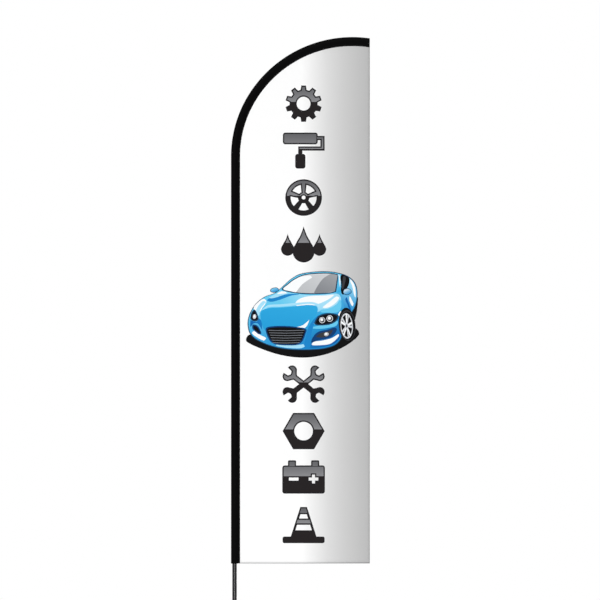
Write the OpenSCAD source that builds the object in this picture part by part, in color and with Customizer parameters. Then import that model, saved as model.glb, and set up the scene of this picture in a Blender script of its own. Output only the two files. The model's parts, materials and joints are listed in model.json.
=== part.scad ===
// Feather flag: a tall printed panel with a curved pole sleeve, on a four-section pole that
// turns on a ground spike.
// Frame: Z is the pole's axis, z = 0 is the ground under the foot plate, +X points from the
// pole to the flag's free (fly) edge, and the printed front looks along -Y.
// Lengths are in millimetres.

/* [Flag] */
// Height of the flag's bottom edge above the ground
flag_bottom_z = 750; // [650:10:850]
// Width of the flag from the sleeve's outer edge to the fly edge
flag_w = 924; // [900:1:940]
// Height at which the sleeve begins to curve over
bend_start_z = 3461; // [3440:1:3500]
// Radius of the sleeve's outer edge on the first arc
bend_r1 = 775; // [760:1:790]
// Angle through which the first arc turns
bend_turn1 = 31.25; // [28:0.25:35]
// Radius of the sleeve's outer edge on the second arc
bend_r2 = 815; // [800:1:830]
// Width of the sleeve, measured flat from its folded edge to its seam
sleeve_w = 60.2; // [58:0.1:64]
// Distance from the sleeve's folded edge to the pole's axis
pole_inset = 23.5; // [22:0.1:26]
// Thickness of the sleeve's cloth
sleeve_cloth = 0.8; // [0.5:0.1:1]
// Thickness of the printed panel
panel_cloth = 0.6; // [0.4:0.1:0.8]
// Width of the folded hems
hem_w = 15; // [10:1:20]

/* [Pole] */
// Radius of the lowest tube
lower_r = 15; // [15:0.1:15.2]
// Wall of the two aluminium tubes
tube_wall = 1.5; // [1.5:0.1:1.6]
// Length of each tube that is plugged into the one below it
overlap_l = 90; // [85:5:100]
// Radius of the glass-fibre tube
third_r = 10; // [9.8:0.1:10]
// Wall of the glass-fibre tube
third_wall = 2; // [1.8:0.1:2]
// Radius of the whip at its thick end
whip_r = 7.7; // [7.3:0.1:7.7]
// Radius of the whip at its tip
whip_tip_r = 3.5; // [3:0.1:4]

/* [Stake] */
// Radius of the ground spike
spike_r = 10; // [8:0.5:12]
// Length of the spike's round shank
spike_l = 400; // [300:10:500]
// Length of the spike's point
spike_point_l = 110; // [60:5:150]
// Length of the foot plate
plate_l = 140; // [100:5:180]
// Width of the foot plate
plate_w = 60; // [50:2:80]
// Thickness of the foot plate
plate_t = 5; // [5:1:5]

/* [Hidden] */
// Fold edge, arc centres and fly edge of the flag, in the XZ plane
fold_x = -pole_inset;
bend_c1 = [fold_x + bend_r1, bend_start_z];
bend_c2 = bend_c1 - (bend_r2 - bend_r1) * [-cos(bend_turn1), sin(bend_turn1)];
fly_x = fold_x + flag_w;
arc1_steps = 9;
arc2_steps = 20;

// Pole sections, measured along the pole's axis from the ground: three equal straight tubes
// reach the start of the curve, and the whip alone bends
flange_top_z = 20;
section_l = (bend_start_z - flange_top_z + 2 * overlap_l) / 3;
fit_gap = 0.1;
lower_bore_r = lower_r - tube_wall;
second_r = lower_bore_r - fit_gap;
second_bore_r = second_r - tube_wall + fit_gap;
third_bore_r = third_r - third_wall;
lower_top = flange_top_z + section_l;
second_bottom = lower_top - overlap_l;
second_top = second_bottom + section_l;
third_bottom = second_top - overlap_l;
third_top = third_bottom + section_l;
whip_bottom = third_top - overlap_l;
axis_r1 = bend_r1 - pole_inset;
axis_r2 = bend_r2 - pole_inset;
axis_arc1_l = axis_r1 * bend_turn1 * PI / 180;
fly_s = bend_start_z + axis_arc1_l + axis_r2 * (end_turn(pole_inset) - bend_turn1) * PI / 180;
whip_top = fly_s - 15;
whip_sides = 16;
whip_steps = 54;

// Half-thickness of the sleeve's hollow: lower tube, second tube, third tube, tip
hollow_lower = lower_r + 3;
hollow_second = second_r + 2.5;
hollow_third = third_r + 2.5;
hollow_tip = 9.5;
// How far the panel's edge reaches into the sleeve's seam, and the slack on each side of it
seam_lap = 10;
seam_slack = 0.05;
fold_steps = 7;

// Ball bearings: bore, outside, width, ball pitch, ball radius and number of balls
bearing_bore_r = 5;
bearing_out_r = 11;
bearing_w = 6;
ball_pitch_r = 8.3;
ball_r = 1.75;
ball_gap = 0.05;
ball_count = 9;
race_gap = 0.9;
bearing_z = [flange_top_z, flange_top_z + 90];
seat_fit = 0.02;

// Spindle and rotor
spindle_r = bearing_bore_r - seat_fit;
spindle_foot_r = 14;
shoulder_r = 7;
spindle_top_z = bearing_z[1] + bearing_w + 4;
clip_z = bearing_z[1] + bearing_w + 0.1;
clip_t = 1;
clip_groove_r = 4.5;
rotor_r = lower_bore_r - 0.2;
rotor_flange_r = 17;
rotor_flange_t = 6;
rotor_bottom_z = flange_top_z - rotor_flange_t;
rotor_top_z = spindle_top_z + 1;
rotor_land_r = 10.2;
guide_w = 6;
guide_z = [flange_top_z + 14, flange_top_z + 78];
guide_groove_r = 12.4;
guide_r = lower_bore_r - 0.05;

// Snap buttons: height, tube bore, radius of the head, flange and tip of the head
snap_1 = [lower_top - overlap_l / 2, second_bore_r, 4, 9, lower_r + 2.5];
snap_2 = [second_top - overlap_l / 2, third_bore_r, 3.5, 5.2, second_r + 2.4];
snap_flange_t = 1.2;
snap_hole_gap = 0.2;
spring_t = 0.5;
spring_leg = 40;

strap_z = flag_bottom_z + 18;
strap_w = 25;

$fn = 64;

// ---------- Geometry of the curved edge ----------

// A point at a radius from an arc's centre: turn 0 is straight up the pole, 90 is level
function on_arc(centre, r, turn) = centre + r * [-cos(turn), sin(turn)];

// Turn at which a line set in from the folded edge meets the vertical cut at the fly edge
function end_turn(inset) = 90 + asin((fly_x - bend_c2[0]) / (bend_r2 - inset));

// Points along both arcs on a line set in from the folded edge
function arc_points(inset) = concat(
    [for (i = [0:arc1_steps]) on_arc(bend_c1, bend_r1 - inset, bend_turn1 * i / arc1_steps)],
    [for (i = [1:arc2_steps]) on_arc(bend_c2, bend_r2 - inset, second_turn(inset, i))]
);
function second_turn(inset, i) =
    bend_turn1 + (end_turn(inset) - bend_turn1) * i / arc2_steps;

// Turn, and place in the XZ plane, of the pole's axis at a distance along it from the ground
function axis_turn(s) =
    s <= bend_start_z ? 0
    : s <= bend_start_z + axis_arc1_l ? (s - bend_start_z) / axis_r1 * 180 / PI
    : bend_turn1 + (s - bend_start_z - axis_arc1_l) / axis_r2 * 180 / PI;
function axis_point(s) =
    s <= bend_start_z ? [0, s]
    : s <= bend_start_z + axis_arc1_l ? on_arc(bend_c1, axis_r1, axis_turn(s))
    : on_arc(bend_c2, axis_r2, axis_turn(s));

// Skin of a swept solid: rings of points with an equal count, closed at its two end rings.
// A ring is a disc's edge, or the edge of a folded strip: out along one side of the strip
// and back along the other, so its end face is a row of quads across the strip.
module sweep(rings, strip = false) {
    count = len(rings[0]);
    last = len(rings) - 1;
    side = [for (k = [0:last - 1], i = [0:count - 1])
        [k * count + i, k * count + (i + 1) % count,
         (k + 1) * count + (i + 1) % count, (k + 1) * count + i]];
    ends = strip ? strip_ends(count, last * count) : disc_ends(count, last * count);
    polyhedron(points = [for (ring = rings) each ring], faces = concat(side, ends));
}
function disc_ends(count, top) =
    [[for (i = [0:count - 1]) count - 1 - i], [for (i = [0:count - 1]) top + i]];
function strip_ends(count, top) = concat(
    [for (i = [0:count / 2 - 2]) [count - 1 - i, count - 2 - i, i + 1, i]],
    [for (i = [0:count / 2 - 2]) [top + i, top + i + 1, top + count - 2 - i, top + count - 1 - i]]
);

// Moves its children from the origin's +Z to a place along the curved pole
module at_pole(s) {
    p = axis_point(s);
    translate([p[0], 0, p[1]]) rotate([0, axis_turn(s), 0]) children();
}

module ring_solid(r_out, r_in, h) {
    difference() {
        cylinder(r = r_out, h = h);
        translate([0, 0, -1]) cylinder(r = r_in, h = h + 2);
    }
}

// ---------- Stake: spike, plate and spindle ----------

module ground_spike() {
    color("dimgray") union() {
        translate([0, 0, -spike_l]) cylinder(r = spike_r, h = spike_l);
        translate([0, 0, -spike_l - spike_point_l])
            cylinder(r1 = 1, r2 = spike_r, h = spike_point_l);
        cylinder(r = spike_r - 2, h = plate_t);
    }
}

module foot_plate() {
    corner_r = 12;
    dx = plate_l / 2 - corner_r;
    dy = plate_w / 2 - corner_r;
    color("dimgray") difference() {
        linear_extrude(plate_t) union() {
            square([plate_l, 2 * dy], center = true);
            square([2 * dx, plate_w], center = true);
            for (x = [-dx, dx], y = [-dy, dy]) translate([x, y]) circle(r = corner_r);
        }
        translate([0, 0, -1]) cylinder(r = spike_r - 2 + fit_gap / 2, h = plate_t + 2);
    }
}

module spindle() {
    foot_t = 4;
    shoulder_top = bearing_z[0];
    color("silver") rotate_extrude() polygon([
        [0, plate_t],
        [spindle_foot_r, plate_t],
        [spindle_foot_r, plate_t + foot_t],
        [shoulder_r, plate_t + foot_t],
        [shoulder_r, shoulder_top],
        [spindle_r, shoulder_top],
        [spindle_r, clip_z],
        [clip_groove_r, clip_z],
        [clip_groove_r, clip_z + clip_t + 0.1],
        [spindle_r, clip_z + clip_t + 0.1],
        [spindle_r, spindle_top_z - 1],
        [spindle_r - 1, spindle_top_z],
        [0, spindle_top_z]
    ]);
}

module weld_bead() {
    bead = 3;
    color("gray") rotate_extrude() translate([spindle_foot_r, plate_t])
        intersection() {
            circle(r = bead);
            square(bead);
        }
}

// ---------- Ball bearings ----------

module race(z, r_in, r_out) {
    rotate_extrude() difference() {
        translate([r_in, z]) square([r_out - r_in, bearing_w]);
        translate([ball_pitch_r, z + bearing_w / 2]) circle(r = ball_r + ball_gap);
    }
}

module inner_races() {
    color("lightsteelblue") for (z = bearing_z) race(z, bearing_bore_r, ball_pitch_r - race_gap);
}

module outer_races() {
    color("lightsteelblue")
        for (z = bearing_z) race(z, ball_pitch_r + race_gap, bearing_out_r - seat_fit);
}

module bearing_balls() {
    color("white") for (z = bearing_z, k = [0:ball_count - 1])
        rotate([0, 0, 360 * k / ball_count])
            translate([ball_pitch_r, 0, z + bearing_w / 2]) sphere(r = ball_r, $fn = 32);
}

module ball_cages() {
    cage_h = 5;
    cage_wall = 0.9;
    color("goldenrod") for (z = bearing_z) translate([0, 0, z + bearing_w / 2])
        difference() {
            translate([0, 0, -cage_h / 2])
                ring_solid(ball_pitch_r + cage_wall / 2, ball_pitch_r - cage_wall / 2, cage_h);
            for (k = [0:ball_count - 1]) rotate([0, 90, 360 * k / ball_count])
                translate([0, 0, ball_pitch_r - 2]) cylinder(r = ball_r + 0.1, h = 4);
        }
}

module race_spacer() {
    z0 = bearing_z[0] + bearing_w;
    color("silver") translate([0, 0, z0])
        ring_solid(ball_pitch_r - race_gap - 0.4, bearing_bore_r, bearing_z[1] - z0);
}

module retaining_ring() {
    ear_r = 1.6;
    color("dimgray") translate([0, 0, clip_z + 0.02]) linear_extrude(clip_t)
        difference() {
            union() {
                circle(r = 6.2);
                for (y = [-2.4, 2.4]) translate([5.4, y]) circle(r = ear_r);
            }
            circle(r = clip_groove_r + 0.05);
            translate([0, -0.9]) square([12, 1.8]);
            for (y = [-2.4, 2.4]) translate([5.6, y]) circle(r = 0.6, $fn = 24);
        }
}

// ---------- Rotor: turns on the spindle and carries the pole ----------

module rotor_sleeve() {
    seat_bottom = bearing_z[0] + bearing_w;
    seat_top = bearing_z[1];
    color("silver") difference() {
        rotate_extrude() polygon([
            [bearing_out_r, rotor_bottom_z],
            [rotor_flange_r - 1, rotor_bottom_z],
            [rotor_flange_r, rotor_bottom_z + 1],
            [rotor_flange_r, flange_top_z],
            [rotor_r, flange_top_z],
            [rotor_r, rotor_top_z - 1],
            [rotor_r - 1, rotor_top_z],
            [bearing_out_r, rotor_top_z],
            [bearing_out_r, seat_top],
            [rotor_land_r, seat_top],
            [rotor_land_r, seat_bottom],
            [bearing_out_r, seat_bottom]
        ]);
        for (z = guide_z) translate([0, 0, z])
            ring_solid(rotor_r + 2, guide_groove_r, guide_w);
    }
}

module dust_seal() {
    lip = shoulder_r + 0.3;
    seal_z = rotor_bottom_z + 0.4;
    color("black") rotate_extrude() polygon([
        [bearing_out_r - 0.05, seal_z],
        [bearing_out_r - 0.05, seal_z + 4],
        [lip + 2, seal_z + 4],
        [lip + 1, seal_z + 1.6],
        [lip, seal_z + 0.8],
        [lip, seal_z]
    ]);
}

module guide_rings() {
    color("ivory") for (z = guide_z) difference() {
        translate([0, 0, z + 0.1]) ring_solid(guide_r, guide_groove_r + 0.05, guide_w - 0.2);
        translate([0, -1, z - 1]) cube([lower_r, 2, guide_w + 2]);
    }
}

module rotor_cap() {
    skirt_r = bearing_out_r - 0.05;
    color("black") rotate_extrude() polygon([
        [0, rotor_top_z],
        [skirt_r - 1.4, rotor_top_z],
        [skirt_r - 1.4, rotor_top_z - 3],
        [skirt_r, rotor_top_z - 3],
        [skirt_r, rotor_top_z],
        [rotor_r - 0.6, rotor_top_z],
        [rotor_r - 0.6, rotor_top_z + 2],
        [rotor_r - 3.4, rotor_top_z + 5],
        [0, rotor_top_z + 6]
    ]);
}

// ---------- Pole ----------

// Radial hole for a snap button, through the wall on the +X side
module snap_hole(snap) {
    translate([0, 0, snap[0]]) rotate([0, 90, 0])
        cylinder(r = snap[2] + snap_hole_gap, h = lower_r * 2);
}

module lower_tube() {
    color([0.12, 0.12, 0.13]) difference() {
        translate([0, 0, flange_top_z]) cylinder(r = lower_r, h = section_l);
        translate([0, 0, flange_top_z - 1]) cylinder(r = lower_bore_r, h = section_l + 2);
        snap_hole(snap_1);
    }
}

module second_tube() {
    color([0.18, 0.18, 0.19]) difference() {
        translate([0, 0, second_bottom]) cylinder(r = second_r, h = section_l);
        translate([0, 0, second_bottom - 1]) cylinder(r = second_bore_r, h = section_l + 2);
        snap_hole(snap_1);
        snap_hole(snap_2);
    }
}

module joint_ferrule() {
    lip_t = 6;
    color("silver") difference() {
        union() {
            translate([0, 0, third_bottom])
                cylinder(r = second_bore_r - 0.08, h = second_top - third_bottom);
            translate([0, 0, second_top]) cylinder(r = second_r, h = lip_t);
        }
        translate([0, 0, third_bottom - 1])
            cylinder(r = third_r + 0.05, h = overlap_l + lip_t + 2);
        snap_hole(snap_2);
    }
}

module third_tube() {
    color([0.15, 0.15, 0.15]) difference() {
        translate([0, 0, third_bottom]) cylinder(r = third_r, h = section_l);
        translate([0, 0, third_bottom - 1]) cylinder(r = third_bore_r, h = section_l + 2);
        snap_hole(snap_2);
    }
}

// A glass-fibre rod that thins evenly from its plugged end to its tip
function whip_ring(s, r) =
    let (p = axis_point(s), turn = axis_turn(s))
    [for (k = [0:whip_sides - 1])
        let (a = 360 * k / whip_sides, out = r * cos(a))
        [p[0] + out * cos(turn), r * sin(a), p[1] - out * sin(turn)]];

module whip() {
    taper_l = whip_top - third_top;
    color([0.2, 0.2, 0.2]) sweep(concat(
        [for (i = [0:3]) whip_ring(whip_bottom + overlap_l * i / 3, whip_r)],
        [for (i = [1:whip_steps]) let (f = i / whip_steps)
            whip_ring(third_top + taper_l * f, whip_r + (whip_tip_r - whip_r) * f)]
    ));
}

module whip_cap() {
    cap_r = 6;
    cap_l = 24;
    bore_l = 21;
    color("black") at_pole(whip_top - bore_l) difference() {
        union() {
            cylinder(r = cap_r, h = cap_l - 3);
            translate([0, 0, cap_l - 3]) cylinder(r1 = cap_r, r2 = cap_r - 2.5, h = 3);
        }
        translate([0, 0, -1]) cylinder(r = whip_tip_r + 0.6, h = bore_l + 1.2);
    }
}

// Webbing cup, sewn into the sleeve's end, that the whip's cap pushes against
module tip_pocket() {
    cup_r = 6.6;
    wall = 1.4;
    cup_l = 34;
    color([0.1, 0.1, 0.1]) at_pole(whip_top - 27) difference() {
        cylinder(r = cup_r + wall, h = cup_l);
        translate([0, 0, -1]) cylinder(r = cup_r, h = cup_l + 1 - wall);
    }
}

// ---------- Snap buttons and their springs ----------

module snap_button(snap) {
    flange_r = snap[2] + 0.9;
    dome = 1.5;
    color("silver") translate([0, 0, snap[0]]) rotate([0, 90, 0]) union() {
        translate([0, 0, snap[3]]) cylinder(r = flange_r, h = snap_flange_t);
        translate([0, 0, snap[3]]) cylinder(r = snap[2], h = snap[4] - snap[3] - dome);
        translate([0, 0, snap[4] - dome]) cylinder(r1 = snap[2], r2 = snap[2] - dome, h = dome);
    }
}

// A spring-steel strip bent to a U: one leg behind the button, the other on the far wall
module snap_spring(snap) {
    strip_w = snap[2] * 1.4;
    front_x = snap[3] - 0.2;
    back_x = -sqrt(pow(snap[1] - 0.2, 2) - pow(strip_w / 2, 2));
    span = front_x - back_x;
    color("lightgray") translate([0, strip_w / 2, snap[0] - spring_leg + 8])
        rotate([90, 0, 0]) linear_extrude(strip_w) translate([(front_x + back_x) / 2, 0])
            difference() {
                union() {
                    circle(r = span / 2);
                    translate([-span / 2, 0]) square([span, spring_leg]);
                }
                circle(r = span / 2 - spring_t);
                translate([spring_t - span / 2, 0])
                    square([span - 2 * spring_t, spring_leg + 1]);
            }
}

module snap_button_lower() { snap_button(snap_1); }
module snap_button_upper() { snap_button(snap_2); }
module snap_spring_lower() { snap_spring(snap_1); }
module snap_spring_upper() { snap_spring(snap_2); }

// ---------- Flag ----------

// Hook-and-loop strap inside the sleeve's mouth, closed round the lowest tube
module cinch_strap() {
    color([0.08, 0.08, 0.08]) translate([0, 0, strap_z])
        ring_solid(lower_r + 1.1, lower_r + 0.1, strap_w);
}

module cinch_tab() {
    tab_angle = 120;
    color([0.2, 0.2, 0.2]) translate([0, 0, strap_z]) rotate([0, 0, -tab_angle / 2])
        rotate_extrude(angle = tab_angle) translate([lower_r + 1.2, 0]) square([0.9, strap_w]);
}

// Half of the sleeve's section, seam to fold, tangent to a round pole: [inset, offset]
function lens_side(half, edge) =
    let (from = acos(half / (sleeve_w - pole_inset)), to = 180 - acos(half / pole_inset))
    concat(
        [[sleeve_w, edge]],
        [for (i = [0:fold_steps]) let (a = from + (to - from) * i / fold_steps)
            [pole_inset + half * cos(a), half * sin(a)]]
    );
function flipped(side) = [for (p = side) [p[0], -p[1]]];
function mirrored(side) = [for (i = [len(side) - 1:-1:0]) [side[i][0], -side[i][1]]];
function fold_end(inset, offset) = [[inset, offset], [inset, -offset]];

// Whole section of the folded strip: outside, round the fold, back, then the inside
function sleeve_section(hollow) =
    let (
        slot = panel_cloth / 2 + seam_slack,
        outer = lens_side(hollow + sleeve_cloth, slot + sleeve_cloth),
        inner = lens_side(hollow, slot)
    )
    concat(
        outer, fold_end(0, sleeve_cloth / 2), mirrored(outer),
        flipped(inner), fold_end(sleeve_cloth * 1.4, -0.1), flipped(mirrored(inner))
    );

// Section placed on the straight stretch, and on each arc
function straight_ring(z, hollow) =
    [for (p = sleeve_section(hollow)) [fold_x + p[0], p[1], z]];
function arc1_ring(i, hollow) = [for (p = sleeve_section(hollow))
    let (q = on_arc(bend_c1, bend_r1 - p[0], bend_turn1 * i / arc1_steps)) [q[0], p[1], q[1]]];
function arc2_ring(i, hollow) = [for (p = sleeve_section(hollow))
    let (q = on_arc(bend_c2, bend_r2 - p[0], second_turn(p[0], i))) [q[0], p[1], q[1]]];
function curve_hollow(f) = hollow_third + (hollow_tip - hollow_third) * f;

module pole_sleeve() {
    steps = arc1_steps + arc2_steps;
    color([0.06, 0.06, 0.06]) sweep(strip = true, rings = concat(
        [
            straight_ring(flag_bottom_z, hollow_lower),
            straight_ring(lower_top + 10, hollow_lower),
            straight_ring(lower_top + 80, hollow_second),
            straight_ring(second_top + 16, hollow_second),
            straight_ring(second_top + 80, hollow_third),
            straight_ring(bend_start_z, hollow_third)
        ],
        [for (i = [1:arc1_steps]) arc1_ring(i, curve_hollow(i / steps))],
        [for (i = [1:arc2_steps]) arc2_ring(i, curve_hollow((arc1_steps + i) / steps))]
    ));
}

// The printed panel: its edge lies inside the sleeve's seam and inside the hems
module flag_panel() {
    inset = sleeve_w - seam_lap;
    edge = arc_points(inset);
    tuck = 0.8;
    color("whitesmoke") translate([0, panel_cloth / 2, 0]) rotate([90, 0, 0])
        linear_extrude(panel_cloth) intersection() {
            polygon(concat([[fold_x + inset, flag_bottom_z]], edge, [[fly_x, flag_bottom_z]]));
            translate([0, flag_bottom_z + tuck]) square([fly_x - tuck, 4000]);
        }
}

// Section of a folded hem, open on its inner side, from the flag's edge inwards
module hem_section() {
    slot = panel_cloth / 2 + seam_slack;
    layer = 0.5;
    difference() {
        translate([0, -slot - layer]) square([hem_w, 2 * (slot + layer)]);
        translate([0.7, -slot]) square([hem_w, 2 * slot]);
    }
}

module fly_hem() {
    top_z = bend_c2[1] + sqrt(pow(bend_r2 - sleeve_w, 2) - pow(fly_x - bend_c2[0], 2)) - 1;
    color("gainsboro") translate([fly_x, 0, flag_bottom_z])
        linear_extrude(top_z - flag_bottom_z) mirror([1, 0]) hem_section();
}

module bottom_hem() {
    start_x = fold_x + sleeve_w + 0.5;
    color("gainsboro") translate([start_x, 0, flag_bottom_z])
        rotate([90, 0, 90]) linear_extrude(fly_x - hem_w - 0.5 - start_x)
            rotate(90) hem_section();
}

ground_spike();
foot_plate();
spindle();
weld_bead();
inner_races();
race_spacer();
retaining_ring();
bearing_balls();
ball_cages();
rotor_sleeve();
outer_races();
dust_seal();
guide_rings();
rotor_cap();
lower_tube();
second_tube();
joint_ferrule();
third_tube();
whip();
whip_cap();
tip_pocket();
snap_button_lower();
snap_button_upper();
snap_spring_lower();
snap_spring_upper();
cinch_strap();
cinch_tab();
pole_sleeve();
flag_panel();
fly_hem();
bottom_hem();
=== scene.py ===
# Looks for a feather flag: a printed panel in a curved black pole sleeve, on a ground spike.
# Everything is built in millimetres in the CAD model's own frame, and turned into metres when
# a mesh is made: Z is the pole's axis, +X points to the fly edge, the printed front looks
# along -Y.
import json
import math

import bmesh
import bpy
import numpy as np
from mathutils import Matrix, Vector
from mathutils.geometry import delaunay_2d_cdt


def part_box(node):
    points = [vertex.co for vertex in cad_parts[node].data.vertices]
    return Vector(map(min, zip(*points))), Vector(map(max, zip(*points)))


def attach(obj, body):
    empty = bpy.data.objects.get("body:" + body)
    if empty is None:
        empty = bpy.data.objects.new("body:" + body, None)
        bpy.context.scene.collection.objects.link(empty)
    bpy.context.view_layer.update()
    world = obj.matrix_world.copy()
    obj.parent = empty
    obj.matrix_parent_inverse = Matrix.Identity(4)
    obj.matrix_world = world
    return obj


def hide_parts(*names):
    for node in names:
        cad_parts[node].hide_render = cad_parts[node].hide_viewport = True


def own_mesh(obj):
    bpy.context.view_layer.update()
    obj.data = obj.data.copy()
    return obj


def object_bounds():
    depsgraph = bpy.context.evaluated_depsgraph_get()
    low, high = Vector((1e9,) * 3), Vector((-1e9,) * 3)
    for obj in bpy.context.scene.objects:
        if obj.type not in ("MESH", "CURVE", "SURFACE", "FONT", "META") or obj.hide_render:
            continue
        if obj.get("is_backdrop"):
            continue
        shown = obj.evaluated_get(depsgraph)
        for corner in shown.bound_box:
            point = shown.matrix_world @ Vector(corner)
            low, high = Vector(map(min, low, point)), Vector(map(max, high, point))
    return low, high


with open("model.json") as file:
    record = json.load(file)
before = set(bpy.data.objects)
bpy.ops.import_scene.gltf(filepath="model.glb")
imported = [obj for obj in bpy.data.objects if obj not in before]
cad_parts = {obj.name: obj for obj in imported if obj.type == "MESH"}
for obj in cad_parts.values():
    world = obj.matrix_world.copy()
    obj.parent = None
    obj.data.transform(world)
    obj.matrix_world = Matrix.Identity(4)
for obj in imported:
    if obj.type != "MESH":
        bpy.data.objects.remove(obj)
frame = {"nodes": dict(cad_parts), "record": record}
cad_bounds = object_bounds()

MM = 0.001


def box_mm(node):
    """A node's lowest and highest corners, in millimetres."""
    return np.array(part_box(node)) / MM


# ---------- Sizes: places come from the frame, the curve's radii are the CAD model's ----------

FOLD_X, _, FLAG_BOTTOM = box_mm("pole_sleeve")[0]
FLY_X, _, FLY_HEM_TOP = box_mm("fly_hem")[1]
BOTTOM_HEM_START, BOTTOM_HEM_END = box_mm("bottom_hem")[:, 0]
LOWER_TOP = box_mm("lower_tube")[1][2]
SECOND_TOP = box_mm("second_tube")[1][2]
THIRD_TOP = box_mm("third_tube")[1][2]
WHIP_BOTTOM = box_mm("whip")[0][2]

BEND_START = 3461
STRAIGHT_L = BEND_START - FLAG_BOTTOM
RADIUS_1 = 775
RADIUS_2 = 815
TURN_1 = math.radians(31.25)
POLE_INSET = -FOLD_X
CENTRE_1 = np.array([FOLD_X + RADIUS_1, BEND_START])
CENTRE_2 = CENTRE_1 - (RADIUS_2 - RADIUS_1) * np.array([-math.cos(TURN_1), math.sin(TURN_1)])

SLEEVE_W = 60.2
SLEEVE_CLOTH = 0.8
SEAM_FLAT = 9.2
SEAM_LAP = 10
PANEL_CLOTH = 0.6
PANEL_GAP = 0.35
PANEL_TUCK = 0.8
HEM_W = 15
# The hem turned in at each end of the sleeve, and how much thicker it makes the cloth there
TURNED_HEM = 16
TURNED_CLOTH = 0.45

# Half-thickness of the sleeve's hollow over each tube, and at its tip
HOLLOW_HEIGHTS = [FLAG_BOTTOM, LOWER_TOP + 10, LOWER_TOP + 80, SECOND_TOP + 16, SECOND_TOP + 80]
HOLLOW_SIZES = [18, 18, 15.9, 15.9, 12.5]
HOLLOW_TIP = 9.5


# ---------- The flag's surface ----------

def on_arc(centre, radius, turn):
    """A point at a radius from an arc's centre: turn 0 is beside the pole, 90 degrees on top."""
    return centre[0] - radius * math.cos(turn), centre[1] + radius * math.sin(turn)


def end_turn(inset):
    """Turn at which a line set in from the folded edge meets the vertical cut at the fly."""
    return math.pi / 2 + math.asin((FLY_X - CENTRE_2[0]) / (RADIUS_2 - inset))


def line_length(inset):
    """Length, from the mouth to the fly edge, of a line set in from the folded edge."""
    return STRAIGHT_L + ((RADIUS_1 - inset) * TURN_1 + (RADIUS_2 - inset) * (end_turn(inset) - TURN_1))


def line_place(length, inset):
    """x, z and turn of the place at a length along a line set in from the folded edge."""
    past = length - STRAIGHT_L
    if past <= 0:
        return FOLD_X + inset, FLAG_BOTTOM + length, 0.0
    turn = past / (RADIUS_1 - inset)
    if turn <= TURN_1:
        return (*on_arc(CENTRE_1, RADIUS_1 - inset, turn), turn)
    turn = TURN_1 + (past - TURN_1 * (RADIUS_1 - inset)) / (RADIUS_2 - inset)
    return (*on_arc(CENTRE_2, RADIUS_2 - inset, turn), turn)


FOLD_L = line_length(0)


def sleeve_share_place(share, inset):
    """As line_place, with share running from 0 at the mouth to 1 at the fly edge on the fold."""
    straight = STRAIGHT_L / FOLD_L
    first = straight + RADIUS_1 * TURN_1 / FOLD_L
    if share <= straight:
        return FOLD_X + inset, FLAG_BOTTOM + share * FOLD_L
    if share <= first:
        return on_arc(CENTRE_1, RADIUS_1 - inset, (share - straight) * FOLD_L / RADIUS_1)
    turn = TURN_1 + (end_turn(inset) - TURN_1) * (share - first) / (1 - first)
    return on_arc(CENTRE_2, RADIUS_2 - inset, turn)


def inset_and_length(x, z):
    """How far points are set in from the folded edge, and their length along the sleeve's seam."""
    from_1 = np.hypot(x - CENTRE_1[0], z - CENTRE_1[1])
    from_2 = np.hypot(x - CENTRE_2[0], z - CENTRE_2[1])
    turn_1 = np.arctan2(z - CENTRE_1[1], CENTRE_1[0] - x)
    turn_2 = np.arctan2(z - CENTRE_2[1], CENTRE_2[0] - x)
    seam_1 = RADIUS_1 - SLEEVE_W
    seam_2 = RADIUS_2 - SLEEVE_W
    inset = np.where(turn_1 < TURN_1, RADIUS_1 - from_1, RADIUS_2 - from_2)
    curve = np.where(turn_1 < TURN_1, seam_1 * turn_1, seam_1 * TURN_1 + seam_2 * (turn_2 - TURN_1))
    straight = z < BEND_START
    return np.where(straight, x - FOLD_X, inset), np.where(straight, z - FLAG_BOTTOM, STRAIGHT_L + curve)


def smooth_step(value):
    value = np.clip(value, 0, 1)
    return value * value * (3 - 2 * value)


BILLOW = 15.0
# The long waves: share of the billow, height in millimetres, lean across the flag, and phase
LONG_WAVES = ((0.60, 1240, 0.20, 0.7), (0.28, 670, -0.30, 2.4), (0.12, 340, 0.55, 4.1))


def billow(x, z):
    """How far the panel stands off its flat plane: long waves, with puckers along the seams."""
    inset, length = inset_and_length(x, z)
    from_seam = np.maximum(inset - SLEEVE_W, 0)
    across = (x - FOLD_X) / (FLY_X - FOLD_X)
    waves = sum(
        size * np.sin(2 * np.pi * (z / height + lean * across) + phase)
        for size, height, lean, phase in LONG_WAVES
    )
    hang = BILLOW * across * smooth_step(from_seam / 330) * waves
    beat = 0.55 + 0.45 * np.sin(length / 171 + 1.3) * np.sin(length / 67)
    ripple = np.sin(2 * np.pi * length / 56 + 1.7 * np.sin(length / 140))
    seam_pucker = 1.1 * beat * ripple * smooth_step(from_seam / 16) * np.exp(-from_seam / 55)
    fly_beat = 0.5 + 0.5 * np.sin(z / 133 + 0.4) * np.sin(z / 59 + 2.0)
    fly_pucker = 0.9 * fly_beat * np.sin(2 * np.pi * z / 47) * np.exp(-(FLY_X - x) / 30)
    low_beat = 0.5 + 0.5 * np.sin(x / 71 + 1.1)
    low_pucker = 0.8 * low_beat * np.sin(2 * np.pi * x / 49 + 0.6) * np.exp(-(z - FLAG_BOTTOM) / 30)
    return hang + seam_pucker + smooth_step(from_seam / 60) * (fly_pucker + low_pucker)


def surface_normals(x, z):
    """Unit normals of the billowed surface, on its front, which looks along -Y."""
    step = 0.5
    slope_x = (billow(x + step, z) - billow(x - step, z)) / (2 * step)
    slope_z = (billow(x, z + step) - billow(x, z - step)) / (2 * step)
    normals = np.stack([slope_x, -np.ones_like(slope_x), slope_z], 1)
    return normals / np.linalg.norm(normals, axis=1)[:, None]


# ---------- Meshes ----------

# Angles, in degrees, over which an edge stays crisp
SOFT_EDGE = 35
CLOTH_EDGE = 50


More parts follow.
